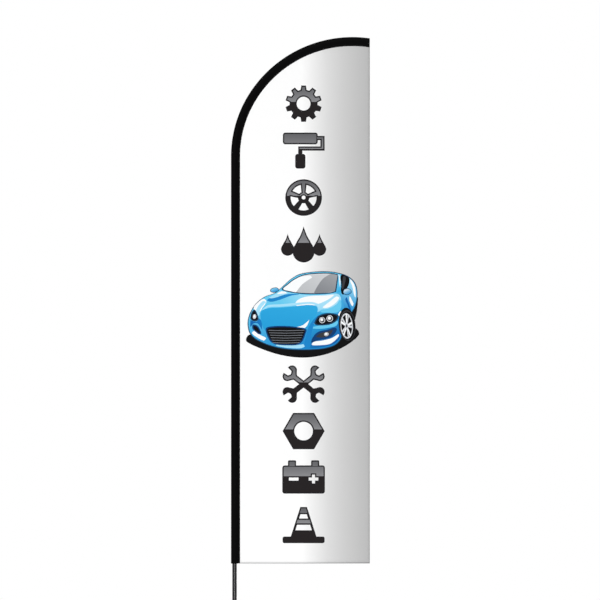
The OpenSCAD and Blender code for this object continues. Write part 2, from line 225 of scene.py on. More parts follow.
def new_object(name, vertices, faces, material):
    mesh = bpy.data.meshes.new(name)
    mesh.from_pydata((np.asarray(vertices, float) * MM).tolist(), [], faces)
    mesh.materials.append(material)
    piece = bpy.data.objects.new(name, mesh)
    bpy.context.scene.collection.objects.link(piece)
    return piece


def flag_piece(name, vertices, faces, slot, sharp=None, node=None, material=None):
    """A smooth-shaded piece that rides on the flag's body and may stand for a CAD node.

    With sharp, the mesh is closed: its faces are turned outwards, and edges over sharp degrees
    stay crisp. The material is its slot's, unless it has one of its own.
    """
    piece = new_object(name, vertices, faces, material or MATERIALS[slot])
    piece.data.shade_smooth()
    if sharp:
        piece.data.set_sharp_from_angle(angle=math.radians(sharp))
        shape = bmesh.new()
        shape.from_mesh(piece.data)
        bmesh.ops.recalc_face_normals(shape, faces=shape.faces)
        shape.to_mesh(piece.data)
        shape.free()
    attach(piece, "flag")
    if node:
        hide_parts(node)
    return piece


def loft(rings, closed_path=False):
    """Vertices and quads that join rings of points with an equal count."""
    count = len(rings[0])
    faces = []
    for k in range(len(rings) if closed_path else len(rings) - 1):
        here, there = k * count, (k + 1) % len(rings) * count
        for i in range(count):
            j = (i + 1) % count
            faces.append((here + i, here + j, there + j, there + i))
    return [point for ring in rings for point in ring], faces


def capped(rings):
    """A loft with a flat face over each end."""
    vertices, faces = loft(rings)
    count = len(rings[0])
    last = range(len(vertices) - count, len(vertices))
    return vertices, faces + [tuple(range(count))[::-1], tuple(last)]


def strip_loft(rings):
    """A loft of strip sections, out along one side and back along the other, closed at its ends."""
    vertices, faces = loft(rings)
    count = len(rings[0])
    top = count * (len(rings) - 1)
    for i in range(count // 2 - 1):
        faces.append((count - 1 - i, count - 2 - i, i + 1, i))
        faces.append((top + i, top + i + 1, top + count - 2 - i, top + count - 1 - i))
    return vertices, faces


def both_sides(side):
    """A folded strip's whole run, from one half of its section: seam, fold, and back."""
    return side + [(inset, -offset) for inset, offset in reversed(side)]


# ---------- Materials ----------

def add_node(tree, kind, inputs=None, **settings):
    """A shader node; an input is a value, or another node's output socket to link from."""
    node = tree.nodes.new("ShaderNode" + kind)
    for key, value in settings.items():
        setattr(node, key, value)
    for key, value in (inputs or {}).items():
        if isinstance(value, bpy.types.NodeSocket):
            tree.links.new(value, node.inputs[key])
        else:
            node.inputs[key].default_value = value
    return node


class Look:
    """A Principled material with the given values on its own sockets, and the nodes that drive it."""

    def __init__(self, name, **shader_inputs):
        self.material = bpy.data.materials.new(name)
        self.material.use_nodes = True
        self.tree = self.material.node_tree
        self.shader = self.tree.nodes["Principled BSDF"]
        for key, value in shader_inputs.items():
            self.shader.inputs[key.replace("_", " ")].default_value = value

    def node(self, kind, inputs=None, **settings):
        return add_node(self.tree, kind, inputs, **settings)

    def place(self, stretch=(1, 1, 1)):
        """Object coordinates, in metres, stretched."""
        place = self.node("TexCoord").outputs["Object"]
        return self.node("Mapping", {"Vector": place, "Scale": stretch}).outputs[0]

    def noise(self, scale, detail=3.0, stretch=(1, 1, 1), roughness=0.55):
        inputs = {"Vector": self.place(stretch), "Scale": scale, "Detail": detail}
        return self.node("TexNoise", {**inputs, "Roughness": roughness}).outputs["Fac"]

    def between(self, factor, low, high, from_low=0.0, from_high=1.0):
        """The factor's range from_low to from_high, carried to low to high."""
        inputs = {"Value": factor, "From Min": from_low, "From Max": from_high}
        return self.node("MapRange", {**inputs, "To Min": low, "To Max": high}).outputs["Result"]

    def plus(self, first, second):
        return self.node("Math", {0: first, 1: second}, operation="ADD").outputs[0]

    def times(self, first, second):
        return self.node("Math", {0: first, 1: second}, operation="MULTIPLY").outputs[0]

    def ramp(self, factor, *stops):
        """A colour from a factor, with (position, colour) stops."""
        node = self.node("ValToRGB", {"Fac": factor})
        elements = node.color_ramp.elements
        while len(elements) < len(stops):
            elements.new(0.5)
        for element, (position, colour) in zip(elements, stops):
            element.position = position
            element.color = (*colour, 1)
        return node.outputs["Color"]

    def scaled(self, colour, factor):
        """A colour multiplied by a factor."""
        grey = self.node("CombineColor", {"Red": factor, "Green": factor, "Blue": factor})
        mix = self.node("Mix", data_type="RGBA", blend_type="MULTIPLY")
        sockets = {socket.identifier: socket for socket in (*mix.inputs, *mix.outputs)}
        sockets["Factor_Float"].default_value = 1.0
        self.tree.links.new(colour, sockets["A_Color"])
        self.tree.links.new(grey.outputs[0], sockets["B_Color"])
        return sockets["Result_Color"]

    def bands(self, axis, pitch, distortion=0.0):
        """Bands across one axis, one to each pitch in metres: 0 in the gap, 1 on the crest."""
        inputs = {"Vector": self.place(), "Scale": math.pi / (10 * pitch)}
        inputs.update({"Distortion": distortion, "Detail": 1.0})
        return self.node("TexWave", inputs, wave_type="BANDS", bands_direction=axis).outputs["Fac"]

    def weave(self, pitch, rib=1.0):
        """Height of a plain weave in the flag's plane: threads along X and along Z."""
        return self.times(self.bands("X", pitch), self.bands("Z", pitch * rib))

    def bump(self, height, depth, strength):
        """A normal from a height that is depth metres deep."""
        inputs = {"Height": height, "Distance": depth, "Strength": strength}
        return self.node("Bump", inputs).outputs["Normal"]

    def finish(self, base, rough, normal=None):
        for key, value in (("Base Color", base), ("Roughness", rough), ("Normal", normal)):
            if value is not None:
                self.tree.links.new(value, self.shader.inputs[key])
        return self.material


def printed_cloth():
    """Knitted polyester that carries the print in its colour attribute."""
    look = Look("printed_cloth", Specular_IOR_Level=0.1, Sheen_Weight=0.02, Sheen_Roughness=0.5)
    ink_colour = look.node("Attribute", attribute_name="print").outputs["Color"]
    knit = look.weave(0.0009, 1.3)
    shade = look.times(look.between(knit, 0.965, 1.0), look.between(look.noise(9, 4), 0.985, 1.0))
    rough = look.between(look.plus(knit, look.noise(260)), 0.86, 0.70, 0.3, 1.5)
    return look.finish(look.scaled(ink_colour, shade), rough, look.bump(knit, 0.0002, 0.25))


def sleeve_cloth():
    """Black woven polyester, with a fine rib across the sleeve."""
    look = Look("sleeve_cloth", Specular_IOR_Level=0.045, Sheen_Weight=0.003, Sheen_Roughness=0.4)
    rib = look.weave(0.0011, 0.8)
    worn = look.noise(22, 5)
    threads = look.times(look.between(rib, 0.55, 1.0), worn)
    base = look.ramp(threads, (0.2, (0.0006, 0.0006, 0.0007)), (0.7, (0.0024, 0.0024, 0.0026)))
    return look.finish(base, look.between(worn, 0.62, 0.8, 0.3, 0.7), look.bump(rib, 0.0003, 0.35))


def thread(name, dark, light):
    """Twisted sewing thread."""
    look = Look(name, Specular_IOR_Level=0.3, Sheen_Weight=0.15)
    twist = look.bands("DIAGONAL", 0.0006)
    base = look.ramp(twist, (0.1, dark), (0.8, light))
    return look.finish(base, look.between(twist, 0.75, 0.5), look.bump(twist, 0.0001, 0.4))


def webbing():
    """Black nylon webbing: heavy ribs round the pole, crossed by fine threads."""
    look = Look("webbing", Specular_IOR_Level=0.3, Sheen_Weight=0.1)
    rib = look.bands("Z", 0.0016)
    cross = look.times(look.bands("Y", 0.0011), look.bands("X", 0.0011))
    height = look.plus(rib, look.times(cross, 0.4))
    base = look.ramp(height, (0.1, (0.006, 0.006, 0.007)), (0.95, (0.024, 0.024, 0.026)))
    return look.finish(base, look.between(rib, 0.85, 0.65), look.bump(height, 0.0004, 0.6))


def loop_fabric():
    """The brushed loops of a hook-and-loop tab."""
    look = Look("loop_fabric", Specular_IOR_Level=0.2, Sheen_Weight=0.3)
    fuzz = look.noise(1400, 6, roughness=0.7)
    tufts = look.noise(320, 3)
    base = look.ramp(tufts, (0.3, (0.010, 0.010, 0.011)), (0.7, (0.040, 0.040, 0.043)))
    normal = look.bump(look.plus(fuzz, tufts), 0.0006, 0.7)
    return look.finish(base, look.between(fuzz, 0.8, 1.0), normal)


def black_tube():
    """Glossy black tube, with faint lines drawn along it and dull scuffed patches."""
    look = Look("black_tube", Specular_IOR_Level=0.5)
    drawn = look.noise(900, 2, (1, 1, 0.004))
    scuff = look.noise(60, 6, (1, 1, 0.25), 0.7)
    mixed = look.plus(look.times(drawn, 0.5), look.times(scuff, 0.5))
    stops = (0.35, (0.004, 0.004, 0.0045)), (0.62, (0.008, 0.008, 0.009)), (0.78, (0.035, 0.035, 0.038))
    rough = look.between(scuff, 0.18, 0.32, 0.35, 0.7)
    return look.finish(look.ramp(mixed, *stops), rough, look.bump(drawn, 0.00003, 0.25))


def glass_fibre():
    """Black glass-fibre rod: fibres run along it under a thin resin gloss."""
    look = Look("glass_fibre", Specular_IOR_Level=0.5, Coat_Weight=0.3)
    fibres = look.noise(1500, 3, (1, 1, 0.01))
    resin = look.noise(35, 4)
    base = look.ramp(fibres, (0.35, (0.008, 0.008, 0.009)), (0.7, (0.030, 0.030, 0.032)))
    return look.finish(base, look.between(resin, 0.22, 0.4), look.bump(fibres, 0.00005, 0.3))


def zinc_steel():
    """Zinc-plated steel: a faint fine spangle, dulled in cloudy patches, with small scratches."""
    look = Look("zinc_steel", Metallic=1.0)
    spangle = look.node("TexVoronoi", {"Vector": look.place(), "Scale": 420.0}).outputs["Color"]
    grain = look.node("SeparateColor", {"Color": spangle}).outputs[0]
    cloudy = look.noise(26, 6, roughness=0.65)
    scratches = look.noise(700, 2, (1, 1, 0.03))
    mixed = look.plus(look.times(grain, 0.16), look.times(cloudy, 0.84))
    stops = (0.25, (0.16, 0.165, 0.17)), (0.5, (0.27, 0.275, 0.285)), (0.75, (0.40, 0.405, 0.415))
    rough = look.between(mixed, 0.58, 0.34, 0.25, 0.75)
    return look.finish(look.ramp(mixed, *stops), rough, look.bump(scratches, 0.00005, 0.3))


def turned_metal(name, dark, light, rough_low, rough_high, pitch):
    """Turned or ground metal: fine rings round the axis, with a cloudy tarnish."""
    look = Look(name, Metallic=1.0)
    rings = look.bands("Z", pitch, 1.5)
    tarnish = look.noise(70, 5)
    rough = look.between(look.plus(rings, tarnish), rough_low, rough_high, 0.2, 1.6)
    return look.finish(look.ramp(tarnish, (0.3, dark), (0.65, light)), rough, look.bump(rings, 0.00002, 0.3))


def moulded(name, dark, light, rough_low, rough_high, grain):
    """Moulded plastic or rubber with a fine grain."""
    look = Look(name, Specular_IOR_Level=0.4)
    skin = look.noise(grain, 4)
    base = look.ramp(look.noise(40, 3), (0.3, dark), (0.7, light))
    rough = look.between(skin, rough_low, rough_high, 0.3, 0.7)
    return look.finish(base, rough, look.bump(skin, 0.0001, 0.3))


def pale_floor():
    """A pale matt floor that fades into the white studio towards its rim."""
    look = Look("pale_floor", Specular_IOR_Level=0.1)
    base = look.ramp(look.noise(3, 4), (0.3, (0.82, 0.82, 0.82)), (0.7, (0.86, 0.86, 0.86)))
    look.finish(base, look.between(look.noise(40), 0.8, 0.95))
    out = look.node("VectorMath", {0: look.place()}, operation="LENGTH").outputs["Value"]
    fade = {"Value": out, "From Min": 1.0, "From Max": 3.4}
    share = look.node("MapRange", fade, interpolation_type="SMOOTHSTEP").outputs["Result"]
    glow = look.node("Emission", {"Color": (1, 1, 1, 1), "Strength": 1.0}).outputs[0]
    mix = look.node("MixShader", {0: share, 1: look.shader.outputs[0], 2: glow})
    look.tree.links.new(mix.outputs[0], look.tree.nodes["Material Output"].inputs["Surface"])
    return look.material


# Each by its slot: dark and light colour, roughness from and to, then the pitch of a metal's
# rings in metres, or the scale of a moulding's grain
METALS = {
    "bearing_steel": ((0.60, 0.61, 0.63), (0.78, 0.79, 0.80), 0.08, 0.2, 0.0004),
    "spring_steel": ((0.34, 0.35, 0.38), (0.52, 0.52, 0.53), 0.22, 0.4, 0.0005),
    "cage_brass": ((0.50, 0.33, 0.11), (0.74, 0.52, 0.22), 0.2, 0.38, 0.0005),
    "bare_aluminium": ((0.58, 0.59, 0.61), (0.76, 0.77, 0.78), 0.22, 0.4, 0.0006),
}
MOULDINGS = {
    "seal_rubber": ((0.009, 0.009, 0.009), (0.022, 0.022, 0.022), 0.6, 0.8, 700),
    "guide_nylon": ((0.66, 0.64, 0.56), (0.78, 0.76, 0.69), 0.4, 0.55, 500),
    "black_plastic": ((0.012, 0.012, 0.013), (0.026, 0.026, 0.028), 0.35, 0.5, 900),
}
MATERIALS = {
    "zinc_steel": zinc_steel(), "black_tube": black_tube(), "glass_fibre": glass_fibre(),
    "webbing": webbing(), "sleeve_cloth": sleeve_cloth(), "printed_cloth": printed_cloth(),
}
MATERIALS["hem_cloth"] = MATERIALS["printed_cloth"]
MATERIALS.update({slot: turned_metal(slot, *look) for slot, look in METALS.items()})
MATERIALS.update({slot: moulded(slot, *look) for slot, look in MOULDINGS.items()})


def dress_cad_nodes():
    """Gives every CAD node the procedural material of its slot in the record."""
    for part in frame["record"]["subparts"]:
        for slot in frame["nodes"][part["node"]].material_slots:
            slot.material = MATERIALS[part["material_slot"]]


# ---------- Outlines ----------

SHARP = 1


def smooth_loop(points, per_side=6):
    """A smooth closed curve through points; a point with a third value is a sharp corner."""
    spots = np.array([point[:2] for point in points], float)
    sharp = np.array([len(point) > 2 for point in points])
    slopes = (np.roll(spots, -1, 0) - np.roll(spots, 1, 0)) / 2
    slopes[sharp] = 0
    out = []
    for k, start in enumerate(spots):
        j = (k + 1) % len(spots)
        end = spots[j]
        side = np.linalg.norm(end - start)
        leave, arrive = (s * min(1, side / max(np.linalg.norm(s), 1e-9)) for s in (slopes[k], slopes[j]))
        steps = 1 if sharp[k] and sharp[j] else per_side
        for t in np.arange(steps) / steps:
            out.append(
                (2 * t**3 - 3 * t**2 + 1) * start + (t**3 - 2 * t**2 + t) * leave
                + (3 * t**2 - 2 * t**3) * end + (t**3 - t**2) * arrive
            )
    return np.array(out)


def turned(points, degrees):
    """Points turned anticlockwise about the origin."""
    c, s = math.cos(math.radians(degrees)), math.sin(math.radians(degrees))
    return np.asarray(points, float) @ np.array([[c, s], [-s, c]])


def ellipse(centre, radii, tilt=0.0, count=32):
    angle = np.linspace(0, 2 * math.pi, count, endpoint=False)
    points = np.stack([radii[0] * np.cos(angle), radii[1] * np.sin(angle)], 1)
    return turned(points, tilt) + np.array(centre)


def grown(points, centre, scale):
    """Points scaled about a centre by a factor for each axis."""
    return [tuple(c + (p - c) * size for p, c, size in zip(point, centre, scale)) for point in points]


def inside(loop, spots):
    """Which spots lie inside a loop, by the even-odd rule."""
    found = np.zeros(len(spots), bool)
    low, high = loop.min(0), loop.max(0)
    near = np.flatnonzero(((spots >= low) & (spots <= high)).all(1))
    x, y = spots[near, 0], spots[near, 1]
    odd = np.zeros(len(near), bool)
    for (ax, ay), (bx, by) in zip(loop, np.roll(loop, -1, 0)):
        if ay != by:
            odd ^= ((ay > y) != (by > y)) & (x < ax + (y - ay) * (bx - ax) / (by - ay))
    found[near] = odd
    return found


def signed_area(loop):
    """The area inside a loop, negative when the loop runs clockwise."""
    after = np.roll(loop, -1, 0)
    return np.sum(loop[:, 0] * after[:, 1] - after[:, 0] * loop[:, 1]) / 2


def set_in(loop, distance):
    """A loop moved inwards by a distance, or outwards by a negative one."""
    loop = loop if signed_area(loop) > 0 else loop[::-1]
    before, after = (
        np.stack([-d[:, 1], d[:, 0]], 1) / np.maximum(np.linalg.norm(d, axis=1), 1e-9)[:, None]
        for d in (loop - np.roll(loop, 1, 0), np.roll(loop, -1, 0) - loop)
    )
    mitre = np.maximum(1 + np.sum(before * after, axis=1), 0.35)
    return loop + distance * (before + after) / mitre[:, None]


# ---------- Printed car: a made-up blue coupe, drawn in a space 100 units wide ----------

BLACK = (8, 8, 10)
NAVY = (10, 62, 118)
DEEP = (14, 98, 172)
MID = (26, 134, 204)
BLUE = (46, 170, 226)
SOFT = (104, 204, 242)
PALE = (168, 226, 250)
WHITE = (252, 254, 255)
SMOKE = (58, 60, 64)
GLASS = (192, 195, 198)
DARK_GLASS = (134, 137, 142)
LINE = (30, 62, 92)
SILVER = (214, 217, 222)

CAR_CENTRE = (52, 42)
CAR_MOUTH_CENTRE = (35, 19.6)
CAR_BODY = [
    (0.8, 28), (2.6, 21.5), (8, 16.2), (18, 11.4), (30, 8.2), (44, 6.8), (58, 6.8), (70, 8), (79, 11),
    (84.5, 17), (88, 34), (92, 38), (96.8, 45), (99, 54), (98.6, 62.5), (95.6, 69), (89, 73.8),
    (79, 76.6), (68, 77.4), (56, 76.6), (46.5, 74.6), (38.5, 69.8), (31, 63), (25, 58), (15.5, 54.4),
    (7.6, 48), (3, 40.5), (0.9, 34),
]
CAR_MOUTH = [
    (17.2, 26.6), (17.6, 21.4), (21, 14.6), (26, 11.8), (36, 11), (45, 11.4), (49.6, 14.6), (52.4, 21),
    (53, 25.6), (44, 27.6), (34, 28.4), (24, 28.2),
]


def area(fill, *points):
    """One printed area with a smooth outline."""
    return smooth_loop(points), fill


def blend(first, last, start, end):
    """A fill that runs from the first colour at start to the last at end."""
    return first, last, start, end


def mouth_bars():
    for k in range(6):
        level = 13.4 + 2.2 * k
        left, right = 22.9 - 0.7 * k, 47.2 + 0.86 * k
        middle = (left + right) / 2
        bar = [(left, level + 0.35), (left, level - 0.15), (middle, level - 0.55)]
        bar += [(right, level - 0.15), (right, level + 0.35), (middle, level - 0.05)]
        yield np.array(bar), (122, 126, 132)


def lamp_reflectors():
    for x, y, size in ((67.4, 33.6, 2.7), (74.2, 35, 2.9)):
        yield ellipse((x, y), (size, size)), SILVER
        yield ellipse((x, y), (0.78 * size, 0.78 * size)), SMOKE
        yield ellipse((x - 0.3, y + 0.4), (0.5 * size, 0.5 * size)), WHITE


def car_wheel():
    hub, rim, tilt = (89.4, 28.4), (5.5, 11.4), 4

    def rim_disc(share):
        return ellipse(hub, (rim[0] * share, rim[1] * share), tilt)

    def spoke(*corners):
        """A spoke from (angle from the top, share of the rim's radius) corners."""
        angles = np.radians([angle for angle, _ in corners])
        shares = np.array([share for _, share in corners])
        flat = np.stack([rim[0] * shares * np.sin(angles), rim[1] * shares * np.cos(angles)], 1)
        return turned(flat, tilt) + np.array(hub)

    yield ellipse((89.6, 29.6), (7.4, 15.2), tilt), BLACK
    yield ellipse((90.1, 28.8), (7.2, 13.6), tilt), SMOKE
    yield ellipse((90.3, 28.6), (6.6, 12.9), tilt), BLACK
    yield rim_disc(1.0), SILVER
    yield rim_disc(0.87), BLACK
    for at in range(14, 360, 72):
        yield spoke((at - 16, 0.93), (at - 3, 0.93), (at + 8, 0.2), (at - 34, 0.2)), WHITE
        yield spoke((at + 5, 0.93), (at + 17, 0.93), (at + 34, 0.2), (at - 6, 0.2)), SILVER
    yield rim_disc(0.27), SILVER
    yield rim_disc(0.14), SMOKE


# Every area of the car, from the back to the front
CAR = [
    # Shadow and shell
    area(BLACK, (-0.3, 14.5), (2, 20.5), (20, 22), (60, 24), (88, 26), (97, 26.5), (100.5, 21), (93, 13.5),
         (80, 6.3), (66, 1.8), (50, 0), (32, 2), (14, 7.5)),
    area(BLACK, (90, 30), (90, 52, SHARP), (99.6, 54, SHARP), (98.6, 42), (95.5, 31)),
    area(LINE, *CAR_BODY),
    area(blend(SOFT, MID, (40, 60), (60, 10)), *grown(CAR_BODY, CAR_CENTRE, (0.984, 0.98))),
    area(blend(PALE, MID, (98, 66), (87, 40)), (84.5, 60), (86.5, 48), (89, 38.5), (92, 39.5), (96, 46),
         (97.9, 54), (97.6, 62), (95, 68), (91, 71.5), (87, 70)),
    area(WHITE, (93.2, 70), (96, 65.5), (97.3, 60), (97.2, 54), (95.8, 57), (94.6, 63), (92.6, 68.5)),
    area(DEEP, (88.2, 52), (90.6, 46), (92.4, 41.2), (93.4, 42.4), (91.6, 48), (89.4, 54)),
    area(WHITE, (91.9, 51), (94, 46.5), (95, 46.3), (95.4, 48.5), (93.6, 52.5), (92, 55)),
    # Windows
    area(BLACK, (84.4, 74), (88, 73.4), (91.6, 71), (91.4, 66), (89, 61), (86.6, 56.5), (84.6, 58),
         (83.6, 66)),
    area(SMOKE, (86.4, 72.6), (88.6, 72), (87.6, 66), (86, 61), (85.2, 62), (85.6, 68)),
    area(LINE, (31.2, 61.4), (36, 59), (48, 57.2), (62, 56.8), (74, 57.4), (80, 59, SHARP),
         (82.2, 74.6, SHARP), (74, 76), (62, 75.9), (50, 74.2), (42, 70.4), (36, 66)),
    area(blend(GLASS, (206, 208, 211), (50, 60), (60, 76)), (32.6, 61.6), (37, 59.8), (48, 58.1),
         (62, 57.7), (74, 58.3), (79, 59.6, SHARP), (81.2, 74, SHARP), (73.6, 75.2), (62, 75),
         (50.4, 73.4), (42.6, 69.8), (37, 65.6)),
    area(WHITE, (32.6, 61.6), (37, 59.8), (44, 58.5, SHARP), (50, 66), (58.6, 71.8, SHARP), (56, 73.8),
         (50.4, 73.4), (42.6, 69.8), (37, 65.6)),
    area(blend(DARK_GLASS, (160, 162, 166), (66, 58), (74, 75)), (60, 57.8, SHARP), (70, 58),
         (79, 59.6, SHARP), (81.2, 74, SHARP), (75, 75, SHARP), (68.5, 71), (63.5, 64.5)),
    area((222, 224, 227), (48, 72.4, SHARP), (56, 73.6), (66, 74.4), (74, 74.6, SHARP), (62, 74.9),
         (54, 74.2)),
    area(blend(PALE, BLUE, (81, 76), (82, 58)), (81.4, 75, SHARP), (83, 74.6, SHARP), (84.4, 66),
         (84, 58.6, SHARP), (80.8, 58.2, SHARP), (82.2, 66)),
    area(WHITE, (82.3, 74, SHARP), (83, 73.8, SHARP), (83.8, 67), (83.3, 63, SHARP), (82.8, 68)),
    area(SOFT, (27.4, 58.8, SHARP), (31, 61.6), (38, 67.8), (46, 72.8, SHARP), (40, 69.8), (33, 64)),
    # Bonnet
    area(blend(PALE, SOFT, (56, 58), (40, 40)), (17.5, 53.6), (24, 57), (31, 60), (38, 58.2), (50, 56.4),
         (64, 56), (78, 57.4), (83, 56), (84, 50), (76, 45), (62, 40.6), (46, 36.6), (30, 34), (18, 35),
         (13.2, 40), (13.4, 47)),
    area(WHITE, (44, 50), (50, 53.8), (60, 55.4), (71, 55.6), (78, 56.2), (72, 51.6), (62, 47.4),
         (52, 45.2), (45, 46)),
    area(MID, (18, 51.4), (22, 50), (30, 52), (40, 55.6), (47, 56.6), (40, 57.2), (30, 55.8), (22, 54)),
    area(PALE, (20, 53.6), (24, 53.4), (31, 55.6), (36, 57.4), (31, 58.8), (25, 56.6)),
    area(WHITE, (27, 57.3), (31, 57.2), (36, 58), (31.4, 59.4)),
    area(blend(BLUE, (34, 156, 216), (40, 48), (36, 20)), (12.2, 37), (13.4, 42), (20, 44.4), (32, 45),
         (46, 46.4), (56, 47.2), (62.4, 46), (63.4, 42), (60.6, 35.6), (55.4, 28), (46, 22.8), (34, 21.2),
         (22, 22), (15, 26)),
    area(PALE, (13.6, 42.6), (20, 45.2), (32, 45.8), (46, 47.2), (56, 48.2), (63, 46.8, SHARP),
         (65.4, 43, SHARP), (65, 47.4), (58, 49.8), (44, 49), (30, 47.8), (19, 47)),
    area(WHITE, (44, 27.4, SHARP), (50, 29), (56, 34, SHARP), (54, 29), (52, 26.6, SHARP)),
    # Wings
    area(WHITE, (68, 45), (74, 50), (80, 54.6), (82.6, 53.4), (79, 48.6), (73, 45)),
    area(SOFT, (66, 42.8), (73, 44), (80, 47.6), (83.6, 52), (84.6, 46), (82, 41), (74, 40), (67, 40.4)),
    area(WHITE, (80.4, 28), (81.6, 38), (84, 41.6), (86.6, 38), (86, 31), (84.6, 22), (82, 22)),
    area(WHITE, (6, 44.5), (10, 49.6), (15, 52.6), (17.4, 50), (14, 44.6), (10.4, 40)),
    area(PALE, (10.8, 37.6), (12, 43), (15.2, 47.6), (17, 49.6), (14.6, 50.8), (10.4, 46.6), (8, 41)),
    # Bumper
    area(blend(BLUE, DEEP, (60, 34), (74, 12)), (55.6, 29), (60, 36), (66, 40), (76, 40), (82.4, 37.6),
         (83.6, 28), (83.4, 18.4), (78, 12.4), (68, 9.6), (58, 8.6), (53, 11), (54, 20)),
    area(WHITE, (58.6, 31.4), (63, 35.4), (69, 34.8), (76, 35.8), (82, 37.2), (77, 33.4), (70, 31.2),
         (63, 30)),
    area(SOFT, (57.4, 26.6), (64, 28.6), (72, 29.6), (81, 33), (80, 28.6), (72, 26.6), (64, 25.8)),
    area(MID, (51, 8.6, SHARP), (56.8, 9.2, SHARP), (57.6, 20), (60.6, 31), (64.6, 38), (60, 34.6),
         (55.4, 27.6), (52.4, 18)),
    area(WHITE, (58.4, 11.4), (66, 11.2), (75, 12.6), (81.8, 18.4), (82.2, 21), (76, 17.6), (68, 15.4),
         (60, 14.2)),
    area(PALE, (26, 10.8), (36, 8.8), (48, 8.4), (52, 10, SHARP), (50.6, 12, SHARP), (40, 11), (30, 12.2)),
    area(WHITE, (4.6, 22), (9.4, 18), (15, 15.4), (17, 17.6), (12, 20.4), (8, 24)),
    area(blend(DEEP, MID, (4, 30), (14, 36)), (3.2, 33.6, SHARP), (3.2, 27.6), (6, 30.6), (10, 30.4),
         (13.6, 24.6, SHARP), (13.4, 31), (11.4, 35), (8.6, 32.2)),
    area(NAVY, (5.4, 29.6), (9.8, 28.4), (13, 22), (11, 20.8), (7.6, 23.2), (5, 26)),
    area(BLACK, (6.2, 28.4), (9.2, 27.4), (11.8, 22.6), (10.8, 22), (8.2, 24), (6, 26.4)),
    area(NAVY, *CAR_MOUTH),
    area(BLACK, *grown(CAR_MOUTH, CAR_MOUTH_CENTRE, (0.93, 0.88))),
    *mouth_bars(),
    area(NAVY, (57.6, 13.6), (60, 19.6), (64.6, 23.4), (72, 25), (78.6, 27), (80.6, 25), (77, 19.6),
         (71, 17), (64, 15.6)),
    area(SMOKE, (62, 18.6), (66, 22), (72, 23.4), (76.8, 24.8), (74.4, 20.4), (69, 18.2)),
    (ellipse((71.2, 21), (2.1, 1.7), 12), GLASS),
    (ellipse((70.9, 21.3), (1.1, 0.9), 12), WHITE),
    # Lamps
    area(LINE, (60.4, 31.4), (64, 37.4), (71, 39.8), (78.4, 39.4), (82.2, 37.6), (80, 32.6), (74, 29.6),
         (66, 28.8), (61.6, 29.4)),
    area(BLACK, (61.6, 31.4), (64.8, 36.4), (71, 38.7), (78, 38.4), (80.8, 36.8), (78.8, 33.2),
         (73.6, 30.6), (66, 29.8), (62.6, 30.2)),
    area(LINE, (3.2, 35), (4.2, 40.6), (7, 43), (9, 40), (10.6, 34.6), (8.4, 32.6), (5.2, 33)),
    area(BLACK, (4, 35.4), (5, 40), (6.8, 41.8), (8.3, 39.4), (9.6, 35), (8, 33.6), (5.4, 33.9)),
    (ellipse((6.9, 36.8), (1.5, 2.1), -8), SILVER),
    (ellipse((6.7, 37.1), (0.8, 1.2), -8), WHITE),
    *lamp_reflectors(),
    *car_wheel(),
    # Mirrors
    area(LINE, (20.9, 59.5), (22.1, 62), (26, 62.9), (28.6, 61.6), (28.1, 59.5), (24, 58.1)),
    area(blend(PALE, MID, (23, 63), (25, 58)), (21.4, 59.8), (22.5, 61.6), (26, 62.4), (28.1, 61.4),
         (27.6, 59.8), (24, 58.6)),
    area(LINE, (86, 58.4), (87, 61), (90.4, 62.1), (93.3, 60.7), (93.6, 58), (90.5, 56.1), (87.3, 56.6)),
    area(blend(WHITE, MID, (88, 62), (91, 56)), (86.6, 58.6), (87.4, 60.6), (90.4, 61.6), (92.9, 60.4),
         (93.1, 58.2), (90.4, 56.6), (87.6, 57.1)),
]
CAR_UNIT = 7.44
CAR_CORNER = np.array([82, 2120])


def printed_car():
    """The car's areas on the flag, in millimetres."""
    for loop, fill in CAR:
        if len(fill) == 4:
            fill = (*fill[:2], *(CAR_CORNER + CAR_UNIT * np.array(spot) for spot in fill[2:]))
        yield CAR_CORNER + CAR_UNIT * loop, fill


# ---------- Printed pictograms: workshop signs in a two-tone gloss, about their own centres ----------

OUTLINE = (32, 30, 33)
GLOSS_TOP = (96, 96, 99)
GLOSS_LOW = (138, 138, 141)
GLOSS_DARK = (35, 31, 32)
GLOSS_SPLIT = 12
OUTLINE_W = 9
PICTOGRAM_X = 460
PICTOGRAM_PITCH = 313
PICTOGRAM_HALF_H = 120
UPPER_Z = 3812
LOWER_Z = 1944


def disc(radius, count=48):
    return ellipse((0, 0), (radius, radius), 0, count)


def around(radius, *degrees):
    """Points on a circle about the origin, at angles anticlockwise from the right."""
    return [(radius * math.cos(angle), radius * math.sin(angle)) for angle in np.radians(degrees)]


def rounded_box(left, low, right, high, corner):
    points = []
    for start, x, z in (
        (0, right - corner, high - corner), (90, left + corner, high - corner),
        (180, left + corner, low + corner), (270, right - corner, low + corner),
    ):
        points += [(x + a, z + b) for a, b in around(corner, *(start + np.linspace(0, 90, 5)))]
    return np.array(points)


def cog():
    points = []
    for at in range(90, 450, 36):
        points += around(94, at - 12.5) + around(122, at - 7.5, at + 7.5) + around(94, at + 12.5)
    return [np.array(points)], [disc(46)]


def road_wheel():
    holes = [disc(13, 20)]
    for at in range(103, 463, 72):
        outer = around(86, *np.linspace(at, at + 46, 9))
        holes.append(np.array(outer + around(38, *np.linspace(at + 37, at + 9, 4))))
    return [disc(122, 72)], holes


def hex_nut():
    return [disc(140, 6)], [disc(62)]


def drop(x, z, size):
    half = [(0.26, 1.4), (0.64, 0.72), (0.97, 0.0), (0.7, -0.72)]
    points = [(0, 2.15, SHARP), *half, (0, -1.02), *[(-a, b) for a, b in reversed(half)]]
    return smooth_loop(points, 5) * size + np.array([x, z])


